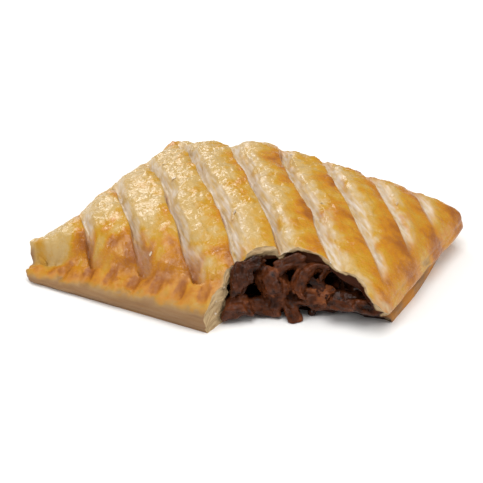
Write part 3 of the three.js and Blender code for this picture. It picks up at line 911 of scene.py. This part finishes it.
def steak_material(filling):
    """Braised steak in gravy: dark brown, fibrous and wet, with painted light on the pieces that stand
    forward and painted shade on those set back.
    """
    material, tree, place = new_material("braised_steak_in_gravy")
    tint = add_node(tree, ATTRIBUTE, attribute_name="tint").outputs["Fac"]
    grain = add_node(tree, ATTRIBUTE, attribute_name="grain").outputs["Vector"]
    fibres = add_node(tree, NOISE, {"Vector": grain, "Scale": 1.0, "Detail": 3.0, "Roughness": 0.55})
    cloud = add_node(tree, NOISE, {"Vector": place, "Scale": per_mm(1.3), "Detail": 3.0})
    lift = add_node(tree, MATH, {0: fibres, 1: 0.7, 2: -0.35}, operation="MULTIPLY_ADD")
    shade = add_node(tree, MATH, {0: tint, 1: lift}, operation="ADD", use_clamp=True)
    body = add_node(tree, RANGE, {"Value": shade, "From Min": 0.0, "From Max": 0.5})
    # The node named torn mixes in the lit steak colour: painted light on the pieces that stand forward
    torn = add_node(tree, RANGE, {"Value": shade, "From Min": 0.45, "From Max": 1.0})
    tone = coated(tree, filling.gravy, (body, filling.dark_steak), (torn, filling.steak))
    wet = {"Value": cloud, "From Min": 0.3, "From Max": 0.7, "To Min": 0.06, "To Max": 0.28}
    roughness = add_node(tree, RANGE, wet)
    height = add_node(tree, MATH, {0: fibres, 1: cloud}, operation="ADD")
    normal = add_node(tree, BUMP, {"Height": height, "Strength": 0.6, "Distance": 0.5 * MM})
    finish_material(tree, tone, roughness, normal, IOR=1.38, Specular_IOR_Level=0.27)
    return material


def flake_material(crust):
    """Loose leaf of baked puff pastry: thin, dry and brittle, pale to golden."""
    material, tree, place = new_material("loose_baked_pastry_leaf")
    patches = add_node(tree, NOISE, {"Vector": place, "Scale": per_mm(2.5), "Detail": 3.0})
    share = add_node(tree, RANGE, {"Value": patches, "From Min": 0.35, "From Max": 0.68})
    tone = coated(tree, crust.bare_leaf, (share, crust.gold))
    roughness = add_node(tree, RANGE, {"Value": patches, "To Min": 0.35, "To Max": 0.6})
    normal = add_node(tree, BUMP, {"Height": patches, "Strength": 0.4, "Distance": 0.2 * MM})
    finish_material(tree, tone, roughness, normal, IOR=1.48)
    return material


def paper_material(stage):
    """Matt white paper: an even, faintly clouded sheet."""
    material, tree, place = new_material("matt_white_paper")
    cloud = add_node(tree, NOISE, {"Vector": place, "Scale": per_mm(40), "Detail": 2.0})
    roughness = add_node(tree, RANGE, {"Value": cloud, "To Min": 0.88, "To Max": 0.96})
    normal = add_node(tree, BUMP, {"Height": cloud, "Strength": 0.05, "Distance": 0.1 * MM})
    finish_material(tree, stage.floor, roughness, normal, IOR=1.45)
    return material


# Pieces


class STEAKSLICE_OT_pastry_crust(bpy.types.Operator):
    """Builds the pastry: slashed and crimped lid, layered sides, and the torn face of the bite"""

    bl_idname = "steakslice.pastry_crust"
    bl_label = "Pastry crust"

    def execute(self, context):
        crust = context.scene.steakslice_crust
        blister, wrinkle = crust.blister / MM, crust.wrinkle / MM
        low = np.array([-LENGTH / 2 + LIP, -WIDTH / 2])
        high = np.array([LENGTH / 2 - LIP, WIDTH / 2 - LIP])

        def skin(u, v):
            x, y = plan(u, v, low, high)
            at_left = 1 - smoothstep(x - low[0], 0, 9)
            x = x + CORNER_NOTCH * bump(y, CORNER_NOTCH_AT, CORNER_NOTCH_SPREAD) * at_left
            x = x + SHEAR * y
            return np.stack([x, y, lid(x, y, blister, wrinkle)], axis=-1)

        def rings(edge):
            square = edge[:, 0] - SHEAR * edge[:, 1]
            out_x, out_y = facing(square, edge[:, 1], low, high)
            to_front, to_back = np.maximum(-out_y, 0) ** 2, np.maximum(out_y, 0) ** 2
            shown = np.where(out_x > 0, 0.14, 0.4) * out_x**2 + 0.1 * to_front + 0.12 * to_back
            knob = np.where(out_x < 0, bump(edge[:, 1], CORNER_PUFF_AT, 9), 0)
            furthest = LIP + 0.3 + np.where(out_x < 0, CORNER_PUFF, 0)
            steps = int(EDGE_HEIGHT / (crust.ring / MM))
            for level in np.linspace(1, 0, steps + 1)[1:]:
                z = edge[:, 2] * level
                around = (edge[:, 0], edge[:, 1], z)
                leaf = mottled(around, (1, (6, 6, crust.leaf / MM), 60), (0.5, (2, 2, 0.7), 61))
                calm = smoothstep(level, 0.0, 0.12) * (1 - smoothstep(level, 0.9, 1.0))
                lumps = (0.35 * noise(around, 7, 62) + 1.1 * knob * noise(around, 4.5, 59)) * calm
                tuck = to_front * (0.35 * bump(level, 0.7, 0.2) - 1.1 * (1 - smoothstep(level, 0, 0.5)))
                reach = side_swell(out_x, out_y, edge[:, 1], level) + shown * leaf * calm + lumps + tuck
                reach = np.minimum(reach, furthest)
                x = square + out_x * reach
                y = edge[:, 1] + out_y * reach
                yield np.stack([x + SHEAR * y, y, z], axis=-1)

        columns, rows = np.round((high - low) / (crust.cell / MM)).astype(int)
        piece = mesh_object("pastry_crust", *moulded(columns, rows, skin, rings))
        piece.data.materials.append(glazed_pastry_material(crust))
        hollow = cavity_object("hollow", 2.0, 0)
        hollow.data.materials.append(soaked_pastry_material(crust))
        combined(piece, hollow, "DIFFERENCE")
        with_bites(piece, "DIFFERENCE", 0.5, 0, ragged=1, material=crumb_material(crust))
        cleaned(piece)
        self.paint(piece, blister, wrinkle)
        smooth_faces(piece, 60)
        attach(piece, "root")
        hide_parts("pastry")
        return {"FINISHED"}

    def paint(self, piece, blister, wrinkle):
        """Stores how toasted, bare, cut and stained the crust is at each point; some of these also carry
        painted shade and painted highlight.
        """
        x, y, z = points_of(piece).T
        _, _, bare, crack = slash_form(x, y)
        _, offset, _ = slash_place(x, y)
        open_share = slash_reach(x, y)
        below = lid(x, y, blister, wrinkle) - z
        front = from_front(y)
        to_bite = np.minimum.reduce(into_bites(x, y, z))

        # The cut sides, the front rim's wall, and painted shade in the crease under the puffed corner
        side = smoothstep(below, 0.25, lerp(2.8, 1.1, smoothstep(front, 3, 7)))
        up_rim = z / rim_height(x) + mottled((x, y, z), (0.1, 4, 69), (0.06, 1.8, 64))
        low_front = (1 - smoothstep(up_rim, 0.46, 0.92)) * (1 - smoothstep(front, 5, 8))
        # Painted shade: a share of the wall's colour on the front face under the puffed left corner
        knob_painted_shade = 0.2 * smoothstep(front, 3, 4.5) * (1 - smoothstep(front, 7, 10))
        knob_painted_shade = knob_painted_shade * (1 - smoothstep(x, -56, -44))
        fold = 1 - smoothstep(from_back(y), 4, 9)
        side = np.maximum.reduce([side * (1 - 0.8 * fold), low_front, knob_painted_shade])
        set_values(piece, "side", side)

        toast = self.toast(x, y, offset, open_share)
        toast = lerp(toast, 0.4, low_front)
        fold_bake = 0.5 + mottled((x, y, z), (0.5, 6, 57), (0.35, 2.4, 56))
        toast = lerp(toast, fold_bake, fold * smoothstep(below, 1, 5))
        toast = toast + 0.14 * (1 - smoothstep(from_end(x, y) + 3 * noise((x, y), 5, 65), 1, 8))
        toast = toast - 0.3 * (1 - smoothstep(from_end(x, y), 1, 4)) * (1 - smoothstep(x, -60, -50))
        toast = toast + side * (0.12 * noise((x, y, z), 5, 79) - 0.25 - 0.1 * smoothstep(z, 1, 4))
        toast = toast + side * (0.15 + 0.2 * noise((x, y, z), 3, 58)) * smoothstep(x, 45, 60)
        toast = toast + 0.15 * low_front * (1 - smoothstep(x, -60, -35))
        set_values(piece, "toast", np.clip(toast, 0, 1.4))

        # Bare leaves: inside the slashes, rubbed off their right banks with a painted highlight, and peeled
        # beside the bite
        band = lerp(1.2, 5.5, smoothstep(x, 38, 52)) + 2.2 * noise((x, y), 3.4, 73)
        peeled = 0.56 + mottled((x, y), (0.5, 2.4, 78), (0.35, 1.2, 63))
        peeled = peeled * (1 - smoothstep(to_bite, band - 2.0, band + 1.4))
        peeled = peeled * smoothstep(noise((x, y), 4.6, 67) - 0.3 * smoothstep(to_bite, 1, 3), -0.6, 0.1)
        faded = lerp(smoothstep(front, 10, 23), 1, smoothstep(x, 0, 18))
        bare = bare * open_share * lerp(0.15, 1, faded)
        dull = np.maximum.reduce([bare, side, peeled, 0.75 * (1 - smoothstep(front, 6, 11))])
        # Pale patches on the slashes' right banks: partly rubbed leaves, partly a painted highlight of the
        # glaze's shine
        rubbed_and_highlight = 0.5 * bump(offset, 3.4, 2.0) * open_share * smoothstep(x, -45, -10)
        rubbed_and_highlight = rubbed_and_highlight * smoothstep(mottled((x, y), (1, 3.2, 75), (0.5, 9, 76)), -0.35, 0.45)
        bare = np.maximum(bare, rubbed_and_highlight * faded)
        set_values(piece, "bare", np.clip(bare * (1 - side), 0, 1))
        set_values(piece, "peeled", np.clip(peeled * (1 - side), 0, 1))
        set_values(piece, "matt", np.clip(dull, 0, 1))
        # Painted shade: a dark line in the cracks along the slashes and in the creases at their lower ends
        crease = bump(offset, -0.5, 0.8) * (1 - smoothstep(front, 11, 20)) * (1 - smoothstep(x, 5, 20))
        set_values(piece, "crack", 0.75 * np.maximum(crack, crease) * open_share * (1 - side))

        set_values(piece, "stain", self.stain(x, y, z, below, to_bite, side))
        under_lid = smooth_lid(x, y) - z
        leaf = np.where(under_lid < LID_LEAVES, under_lid, z)
        set_values(piece, "leafdepth", np.stack([x / 6, y / 6, leaf], axis=-1))

    def toast(self, x, y, offset, open_share):
        """How far the lid and the rim are baked: most on the ribs' crowns, the rim and the right end, with
        painted shade on the ribs' lower front slopes and on the rim.
        """
        front = from_front(y)
        patches = mottled((x, y), (0.36, 11, 70), (0.26, 4.5, 71), (0.16, 2.1, 77))
        crown = smoothstep(offset, -8, -2.2) * (1 - smoothstep(offset, -2.2, 3))
        bank = bump(offset, 4.0, 2.6) * open_share
        # The ribs' lower front slopes are browner: partly real bake, partly painted shade
        lower_ribs = (1 - smoothstep(front, 12, 27)) * smoothstep(x, -60, -40) * (1 - smoothstep(x, 2, 20))
        toast = 0.24 + 1.15 * patches + 0.48 * crown + 0.1 * smoothstep(y, 5, 45)
        toast = toast + 0.45 * smoothstep(x, 4, 34) - bank * lerp(0.45, 0.05, lower_ribs)
        toast = toast + lower_ribs * (0.98 + 0.8 * noise((x, y), 5, 66))
        toast = toast - lerp(0.25, 0.45, smoothstep(front, 25, 40)) * (1 - smoothstep(x, -30, 0))
        # The rim: the crimp marks are real browning; the rim's overall darker bake is partly painted shade
        mark = smoothstep(crimp_dent(x, y - 1.2), 0.1, 0.5)
        past_knob = smoothstep(x, -62, -45)
        rim = 1 - smoothstep(front, lerp(3.5, 7, past_knob), lerp(6, 13, past_knob))
        mottle = mottled((x, y), (0.35, 5, 72), (0.4, 2.4, 68))
        return lerp(toast, 0.92 + 0.6 * mark + 0.7 * mottle, rim)

    def stain(self, x, y, z, below, to_bite, side):
        """How far gravy soaked in under the lid and over the base at the bite, and painted shade in the right
        end's seam.
        """
        walls = (from_front(y) - FRONT_WALL, from_back(y) - BACK_WALL, from_end(x, y) - RIGHT_WALL)
        beside = np.minimum.reduce(walls)
        pale_depth = lerp(2.6, 0.7, smoothstep(x, 22, 29))
        soaked = smoothstep(below + 0.7 * noise((x, y), 2.5, 74), pale_depth, pale_depth + 1.2)
        soaked = soaked * smoothstep(beside, -2.5, -0.5) * smoothstep(x, 13, 18)
        soaked = soaked * (1 - smoothstep(to_bite, 1.5, 5))
        base = (1 - smoothstep(z, BASE_CRUST - 0.5, BASE_CRUST + 2.5)) * (1 - smoothstep(to_bite, 0, 3.5))
        base = 0.8 * base * smoothstep(x, 16, 24) * smoothstep(below, 0.3, 1.2)
        # Painted shade: the gravy colour darkens the seam between the sheets at the right end, a recess that
        # lies in shadow
        seam = bump(z, SEAM_LEVEL * EDGE_HEIGHT, 2.2) * (1 - smoothstep(from_end(x, y), 3, 6))
        seam = 0.35 * side * seam * smoothstep(-y, 6, 16) * smoothstep(x, 40, 60)
        return np.clip(np.maximum.reduce([soaked, base, seam]), 0, 1)


# Pieces of steak on the bite's face: the pixel of the photo where a piece shows, half sizes along and
# across its fibres, how far it stands out of the bite's face, the slant of its fibres in the picture, the
# roll of its curl out of the picture, and the curl over its length, in degrees, and how light it is,
# which is partly painted light and shade: lowest for the pieces set back in the dark recesses
PHOTO_SIDE = 483
STEAK_PIECES = (
    dict(seen=(239, 279), half=(6.4, 4.2, 3.4), proud=0.4, slant=96, roll=0, curl=30, tint=0.22),
    dict(seen=(236, 307), half=(5.8, 4.0, 3.6), proud=1.4, slant=8, roll=0, curl=25, tint=0.5),
    dict(seen=(269, 281), half=(7.0, 5.4, 4.4), proud=1.2, slant=112, roll=20, curl=40, tint=0.5),
    dict(seen=(264, 307), half=(6.6, 3.8, 3.6), proud=2.4, slant=-8, roll=0, curl=30, tint=0.42),
    dict(seen=(277, 297), half=(5.4, 2.6, 2.6), proud=2.6, slant=70, roll=30, curl=60, tint=0.36),
    dict(seen=(291, 263), half=(5.6, 2.7, 2.6), proud=0.0, slant=24, roll=0, curl=30, tint=0.34),
    dict(seen=(304, 273), half=(10.0, 3.2, 2.7), proud=0.8, slant=50, roll=-80, curl=165, tint=0.42),
    dict(seen=(317, 294), half=(6.0, 2.9, 2.7), proud=1.8, slant=6, roll=0, curl=35, tint=0.78),
    dict(seen=(291, 312), half=(5.6, 2.3, 2.0), proud=5.0, slant=-66, roll=20, curl=15, tint=0.42),
    dict(seen=(296, 297), half=(4.2, 2.8, 2.8), proud=0.6, slant=80, roll=0, curl=20, tint=0.25),
    dict(seen=(318, 303), half=(6.2, 2.2, 2.4), proud=1.4, slant=-3, roll=0, curl=20, tint=0.45),
    dict(seen=(347, 300), half=(5.8, 3.4, 3.0), proud=-2.4, slant=-12, roll=0, curl=30, tint=0.12),
    dict(seen=(344, 305), half=(5.4, 2.2, 2.2), proud=0.8, slant=-6, roll=0, curl=20, tint=0.4),
    dict(seen=(367, 308), half=(6.2, 2.2, 2.0), proud=0.4, slant=-14, roll=0, curl=20, tint=0.36),
    dict(seen=(252, 264), half=(4.4, 2.2, 2.2), proud=-0.6, slant=14, roll=0, curl=30, tint=0.2),
)
# Pixels of the photo between which the shreds show, across and down
SHREDS_ACROSS = (232, 362)
SHREDS_DOWN = (274, 310)
# How far the gravy lies behind the bite's face, and the smooth core behind that
GRAVY_BEHIND = 3.6
CORE_BEHIND = 6.0


def camera_axes(stage):
    """Directions from the slice to the camera, to the right of the picture and to its top."""
    turn, rise = stage.azimuth, stage.elevation
    back = np.array([math.sin(turn) * math.cos(rise), -math.cos(turn) * math.cos(rise), math.sin(rise)])
    right = np.array([math.cos(turn), math.sin(turn), 0])
    return back, right, np.cross(back, right)


def on_bite_face(pixel, stage):
    """The place where the camera's ray through a pixel leaves the bite's empty space."""
    back, right, up = camera_axes(stage)
    across = pixel[0] / PHOTO_SIDE - 0.5 + SHIFT_X
    upward = 0.5 - pixel[1] / PHOTO_SIDE + SHIFT_Y
    ray = (across * right + upward * up) * SENSOR / stage.lens - back
    distance = stage.distance / MM
    places = back * distance + np.arange(0.8 * distance, 1.2 * distance, 0.1)[:, None] * ray
    empty = (np.minimum.reduce(into_bites(*places.T)) < 0) & (places[:, 2] > 0)
    if not empty.any():
        raise ValueError(f"the ray through pixel {pixel} misses the bite")
    return places[np.flatnonzero(empty)[-1]]


class STEAKSLICE_OT_steak_filling(bpy.types.Operator):
    """Builds the filling: pieces of braised steak at the bite, joined to the gravy behind them"""

    bl_idname = "steakslice.steak_filling"
    bl_label = "Steak filling"

    def execute(self, context):
        filling = context.scene.steakslice_filling
        stage = context.scene.steakslice_stage
        pieces = list(STEAK_PIECES) + self.shreds(filling.shreds, filling.seed)
        sources = [self.piece(i, stage, **steak) for i, steak in enumerate(pieces)]

        # Only the gravy that shows at the bite is finely meshed
        backing = cavity_object("backing", 1.5, CLEARANCE, SLUMP)
        with_bites(backing, "DIFFERENCE", 2.0, -GRAVY_BEHIND)
        combined(backing, block_object("near_bite", (4, -60, 0), (70, 0, 40)), "INTERSECT")
        gravy_faces = [list(p.vertices) for p in backing.data.polygons]
        groups = [(s["points"], s["faces"]) for s in sources] + [(points_of(backing), gravy_faces)]
        discard(backing)
        start = np.cumsum([0] + [len(points) for points, _ in groups])
        faces = [[v + start[i] for v in face] for i, (_, group) in enumerate(groups) for face in group]
        piece = mesh_object("steak_filling", np.concatenate([points for points, _ in groups]), faces)
        remesh = piece.modifiers.new("join", "REMESH")
        remesh.mode = "VOXEL"
        remesh.voxel_size = filling.voxel
        remesh.adaptivity = 0
        soften = piece.modifiers.new("soften", "SMOOTH")
        soften.factor = 0.5
        soften.iterations = 9
        baked(piece)
        self.fibres(piece, sources, filling)

        # The meat stays in the crust's hollow, in the bite and over the table
        room = cavity_object("room", 3.0, CLEARANCE)
        with_bites(room, "UNION", 2.0, 2 * CLEARANCE)
        combined(room, block_object("over_table", (-100, -100, CLEARANCE), (100, 100, 60)), "INTERSECT")
        combined(piece, room, "INTERSECT")
        core = cavity_object("core", 4.0, CLEARANCE, SLUMP)
        with_bites(core, "DIFFERENCE", 2.0, -CORE_BEHIND)
        combined(piece, core, "UNION")
        cleaned(piece)
        piece.data.materials.clear()
        piece.data.materials.append(steak_material(filling))
        piece.data.polygons.foreach_set("material_index", [0] * len(piece.data.polygons))
        self.paint(piece, sources, filling)
        smooth_faces(piece, 75)
        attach(piece, "root")
        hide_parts("filling")
        return {"FINISHED"}

    def shreds(self, count, seed):
        """Small pieces of steak, scattered over the face of the bite."""
        draw = np.random.default_rng(seed)
        return [
            dict(
                seen=(draw.uniform(*SHREDS_ACROSS), draw.uniform(*SHREDS_DOWN)),
                half=(draw.uniform(2.4, 4.2), draw.uniform(1.1, 1.8), draw.uniform(1.0, 1.6)),
                proud=draw.uniform(-0.8, 0.6),
                slant=draw.uniform(-90, 90),
                roll=draw.uniform(-60, 60),
                curl=draw.uniform(10, 90),
                tint=draw.uniform(0.15, 0.6),
            )
            for _ in range(count)
        ]

    def piece(self, number, stage, seen, half, proud, slant, roll, curl, tint):
        """One lumpy, curled piece of steak, with its own grain."""
        unit, faces = unit_ball(4)
        shape = 1 + mottled(tuple(unit.T), (0.34, 0.8, 80 + number), (0.2, 0.4, 81 + number))
        blunt = np.sign(unit) * np.abs(unit) ** np.array([0.7, 0.95, 0.95])
        local = blunt * shape[:, None] * np.array(half)
        bend = math.radians(curl) * local[:, 0] / (2 * half[0])
        radius = half[0] / max(math.radians(curl) / 2, 0.05)
        out = radius - local[:, 2]
        curled = np.stack([out * np.sin(bend), local[:, 1], radius - out * np.cos(bend)], axis=-1)
        back, right, up = camera_axes(stage)
        slant, roll = math.radians(slant), math.radians(roll)
        along = math.cos(slant) * right + math.sin(slant) * up
        outward = math.cos(roll) * back + math.sin(roll) * np.cross(back, along)
        axes = np.stack([along, np.cross(outward, along), outward])
        points = curled @ axes + on_bite_face(seen, stage) + proud * back
        return {"points": points, "faces": faces, "local": local, "tint": tint}

    def nearest(self, points, sources):
        """Grain coordinates and tint of the nearest piece of steak, and how far away it is."""
        local = np.concatenate([s["local"] for s in sources])
        tint = np.concatenate([np.full(len(s["points"]), s["tint"]) for s in sources])
        tree = KDTree(len(local))
        for i, p in enumerate(np.concatenate([s["points"] for s in sources])):
            tree.insert(Vector(p), i)
        tree.balance()
        found = [tree.find(Vector(p)) for p in points]
        index = np.array([f[1] for f in found])
        away = np.array([f[2] for f in found])
        return local[index], tint[index], away

    def fibres(self, piece, sources, filling):
        """Raises the fibres of the meat along each piece's own grain."""
        points, normals = points_of(piece), normals_of(piece)
        local, _, away = self.nearest(points, sources)
        pitch = filling.fibre / MM
        rise = noise(tuple(local.T), (8 * pitch, pitch, pitch), 90)
        rise = rise + 0.6 * noise(tuple(points.T), 1.3, 91) + 1.6 * noise(tuple(points.T), 2.8, 94)
        on_meat = 1 - smoothstep(away, 0.6, 1.6)
        set_points(piece, points + normals * (on_meat * rise * filling.fibre_height / MM)[:, None])

    def paint(self, piece, sources, filling):
        """Stores how light the meat is at each point, and the grain's own coordinates."""
        points = points_of(piece)
        local, tint, away = self.nearest(points, sources)
        # Away from the pieces the tint falls to zero, so the gaps take the near-black gravy colour: partly
        # painted shade
        on_meat = 1 - smoothstep(away, 0.8, 2.0)
        pitch = filling.fibre / MM
        gravy = 0.75 + mottled(tuple(points.T), (0.45, 3.0, 92), (0.3, 1.4, 93))
        set_values(piece, "tint", np.clip(tint * on_meat * gravy, 0, 1))
        set_values(piece, "grain", local / np.array([6 * pitch, pitch, pitch]))


def scattered(name, host, where, prototype, material, density, seed, scale):
    """Geometry Nodes: scatters copies of a small mesh over a host; where has the share of each host point."""
    tree = bpy.data.node_groups.new(name, "GeometryNodeTree")
    given_values = {
        "Prototype": ("NodeSocketObject", prototype),
        "Density": ("NodeSocketFloat", density),
        "Seed": ("NodeSocketInt", seed),
        "Smallest": ("NodeSocketFloat", scale[0]),
        "Largest": ("NodeSocketFloat", scale[1]),
        "Material": ("NodeSocketMaterial", material),
    }
    tree.interface.new_socket("Geometry", in_out="INPUT", socket_type="NodeSocketGeometry")
    identifiers = {
        key: tree.interface.new_socket(key, in_out="INPUT", socket_type=kind).identifier
        for key, (kind, _) in given_values.items()
    }
    tree.interface.new_socket("Geometry", in_out="OUTPUT", socket_type="NodeSocketGeometry")
    given = add_node(tree, "NodeGroupInput").outputs
    share = add_node(tree, "GeometryNodeInputNamedAttribute", {"Name": "share"}, data_type="FLOAT")
    thick = add_node(tree, MATH, {0: share.outputs["Attribute"], 1: given["Density"]}, operation="MULTIPLY")
    spots = add_node(
        tree,
        "GeometryNodeDistributePointsOnFaces",
        {"Mesh": given["Geometry"], "Density": thick, "Seed": given["Seed"]},
        distribute_method="RANDOM",
    )
    copied = {"Object": given["Prototype"]}
    shape = add_node(tree, "GeometryNodeObjectInfo", copied, transform_space="ORIGINAL")
    sizes = {2: given["Smallest"], 3: given["Largest"], "Seed": given["Seed"]}
    size = add_node(tree, "FunctionNodeRandomValue", sizes, data_type="FLOAT")
    turns = {0: (-0.25, -0.25, -math.pi), 1: (0.25, 0.25, math.pi), "Seed": given["Seed"]}
    twist = add_node(tree, "FunctionNodeRandomValue", turns, data_type="FLOAT_VECTOR")
    turn = add_node(tree, "FunctionNodeEulerToRotation", {0: twist})
    upright = {0: spots.outputs["Rotation"], 1: turn}
    spin = add_node(tree, "FunctionNodeRotateRotation", upright, rotation_space="LOCAL")
    placed = {
        "Points": spots.outputs["Points"],
        "Instance": shape.outputs["Geometry"],
        "Rotation": spin,
        "Scale": size.outputs[1],
    }
    copies = add_node(tree, "GeometryNodeInstanceOnPoints", placed)
    real = add_node(tree, "GeometryNodeRealizeInstances", {0: copies})
    dressed = add_node(tree, "GeometryNodeSetMaterial", {0: real, "Material": given["Material"]})
    add_node(tree, "NodeGroupOutput", {0: dressed})

    piece = bpy.data.objects.new(name, host.data.copy())
    bpy.context.scene.collection.objects.link(piece)
    set_values(piece, "share", where)
    scatter = piece.modifiers.new(name, "NODES")
    scatter.node_group = tree
    for key, (_, value) in given_values.items():
        scatter[identifiers[key]] = value
    baked(piece)
    discard(prototype)
    if not piece.data.polygons:
        raise RuntimeError(f"{name}: nothing was scattered")
    for leftover in {*CRUST_VALUES, "leafdepth", "share"} & {a.name for a in piece.data.attributes}:
        piece.data.attributes.remove(piece.data.attributes[leftover])
    smooth_faces(piece, 50)
    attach(piece, "root")


class STEAKSLICE_OT_loose_leaves(bpy.types.Operator):
    """Scatters thin leaves of pastry that lifted along the slashes"""

    bl_idname = "steakslice.loose_leaves"
    bl_label = "Loose leaves"

    def execute(self, context):
        leaves = context.scene.steakslice_leaves
        host = bpy.data.objects["pastry_crust"]
        x, y, z = points_of(host).T
        _, offset, _ = slash_place(x, y)
        on_lid = 1 - smoothstep(smooth_lid(x, y) - z, 3.2, 4.2)
        bank = bump(offset, 3.2, 1.0) * slash_reach(x, y)
        flaky = bank * smoothstep(noise((x, y), 9, 100), 0.05, 0.5) * on_lid
        prototype = self.leaf(leaves.size / MM, leaves.thickness / MM)
        material = flake_material(context.scene.steakslice_crust)
        scattered("loose_leaves", host, flaky, prototype, material, leaves.density, leaves.seed, (0.45, 1.15))
        return {"FINISHED"}

    def leaf(self, size, thickness):
        """A thin curled plate with a ragged outline, lying on its own base."""
        columns, rows = 5, 3
        u, v = np.meshgrid(np.linspace(-1, 1, columns), np.linspace(-1, 1, rows))
        u, v = u.ravel(), v.ravel()
        x = u * size / 2 + 0.12 * size * noise((u * 3, v * 5), 1.3, 101)
        y = v * size * 0.28 * (1 - 0.35 * u**2) + 0.1 * size * noise((u * 3, v * 5), 1.1, 102)
        lift = 0.16 * size * (u * 0.5 + 0.5) ** 2 - 0.03 * size
        top = np.stack([x, y, lift + thickness], axis=-1)
        under = np.stack([x, y, lift], axis=-1)
        squares, edge = grid_faces(np.arange(columns * rows).reshape(rows, columns))
        below = columns * rows
        faces = np.concatenate([squares, squares[:, ::-1] + below, wall_faces(edge, edge + below)])
        return mesh_object("leaf", np.concatenate([top, under]), faces.tolist())


class STEAKSLICE_OT_crumbs(bpy.types.Operator):
    """Scatters crumbs on the torn face of the bite"""

    bl_idname = "steakslice.crumbs"
    bl_label = "Crumbs"

    def execute(self, context):
        crumbs = context.scene.steakslice_crumbs
        host = bpy.data.objects["pastry_crust"]
        torn = np.zeros(len(host.data.vertices))
        for face in host.data.polygons:
            if face.material_index == TORN_SLOT:
                torn[list(face.vertices)] = 1
        stain = np.empty(len(torn), np.float32)
        host.data.attributes["stain"].data.foreach_get("value", stain)
        over_table = smoothstep(points_of(host)[:, 2], 1.2, 1.8)
        dry = torn * (1 - smoothstep(stain, 0.05, 0.3)) * over_table
        prototype = self.crumb(crumbs.size / MM)
        material = flake_material(context.scene.steakslice_crust)
        scattered("pastry_crumbs", host, dry, prototype, material, crumbs.density, crumbs.seed, (0.3, 1.0))
        return {"FINISHED"}

    def crumb(self, size):
        """A small angular crumb."""
        unit, faces = unit_ball(2)
        points = unit * size / 2
        rough = 1 + 0.45 * noise(tuple(points.T), size * 0.45, 110)
        return mesh_object("crumb", points * rough[:, None] * np.array([1.2, 0.9, 0.7]), faces)


class STEAKSLICE_OT_stage(bpy.types.Operator):
    """Lays the floor and places the lights and the camera"""

    bl_idname = "steakslice.stage"
    bl_label = "Stage"

    def execute(self, context):
        stage = context.scene.steakslice_stage
        corners = np.array([[-1, -1, 0], [1, -1, 0], [1, 1, 0], [-1, 1, 0]]) * FLOOR_REACH
        floor = mesh_object("floor", corners, [[0, 1, 2, 3]])
        floor.data.materials.append(paper_material(stage))

        world = bpy.data.worlds.new("white_studio")
        world.use_nodes = True
        world.node_tree.nodes.clear()
        white = {"Color": (1, 1, 1, 1), "Strength": stage.sky}
        glow = add_node(world.node_tree, "ShaderNodeBackground", white)
        add_node(world.node_tree, "ShaderNodeOutputWorld", {"Surface": glow})
        context.scene.world = world
        for name, softbox in SOFTBOXES.items():
            lamp = bpy.data.lights.new(f"{name}_softbox", "AREA")
            lamp.shape = "SQUARE"
            lamp.size = softbox["size"]
            lamp.energy = getattr(stage, name)
            self.aim(lamp, Vector(softbox["place"]))

        camera = self.aim(bpy.data.cameras.new("camera"), Vector(camera_axes(stage)[0]) * stage.distance)
        camera.data.sensor_width = SENSOR
        camera.data.lens = stage.lens
        camera.data.shift_x = SHIFT_X
        camera.data.shift_y = SHIFT_Y
        camera.data.clip_start = 0.01
        context.scene.camera = camera
        context.scene.view_settings.view_transform = "Standard"
        return {"FINISHED"}

    def aim(self, data, place):
        """Places a lamp or a camera and points it at the middle of the slice's base."""
        thing = bpy.data.objects.new(data.name, data)
        thing.location = place
        thing.rotation_euler = (-place).to_track_quat("-Z", "Y").to_euler()
        bpy.context.scene.collection.objects.link(thing)
        return thing


PIECES = (
    STEAKSLICE_OT_stage,
    STEAKSLICE_OT_pastry_crust,
    STEAKSLICE_OT_steak_filling,
    STEAKSLICE_OT_loose_leaves,
    STEAKSLICE_OT_crumbs,
)
SETTINGS = {
    "steakslice_crust": SteakSliceCrust,
    "steakslice_filling": SteakSliceFilling,
    "steakslice_leaves": SteakSliceLeaves,
    "steakslice_crumbs": SteakSliceCrumbs,
    "steakslice_stage": SteakSliceStage,
}


class STEAKSLICE_PT_panel(bpy.types.Panel):
    """Lists the pieces of the steak slice and their sizes and colours"""

    bl_idname = "STEAKSLICE_PT_panel"
    bl_label = "Steak slice"
    bl_space_type = "VIEW_3D"
    bl_region_type = "UI"
    bl_category = "Steak slice"

    def draw(self, context):
        for piece in PIECES:
            self.layout.operator(piece.bl_idname)
        for name, group in SETTINGS.items():
            box = self.layout.box()
            for field in group.__annotations__:
                box.prop(getattr(context.scene, name), field)


CLASSES = (*SETTINGS.values(), *PIECES, STEAKSLICE_PT_panel)


def register():
    for cls in CLASSES:
        bpy.utils.register_class(cls)
    for name, group in SETTINGS.items():
        setattr(bpy.types.Scene, name, bpy.props.PointerProperty(type=group))


def unregister():
    for name in SETTINGS:
        delattr(bpy.types.Scene, name)
    for cls in reversed(CLASSES):
        bpy.utils.unregister_class(cls)


def main():
    register()
    for piece in PIECES:
        group, name = piece.bl_idname.split(".")
        getattr(getattr(bpy.ops, group), name)()


if __name__ == "__main__":
    main()
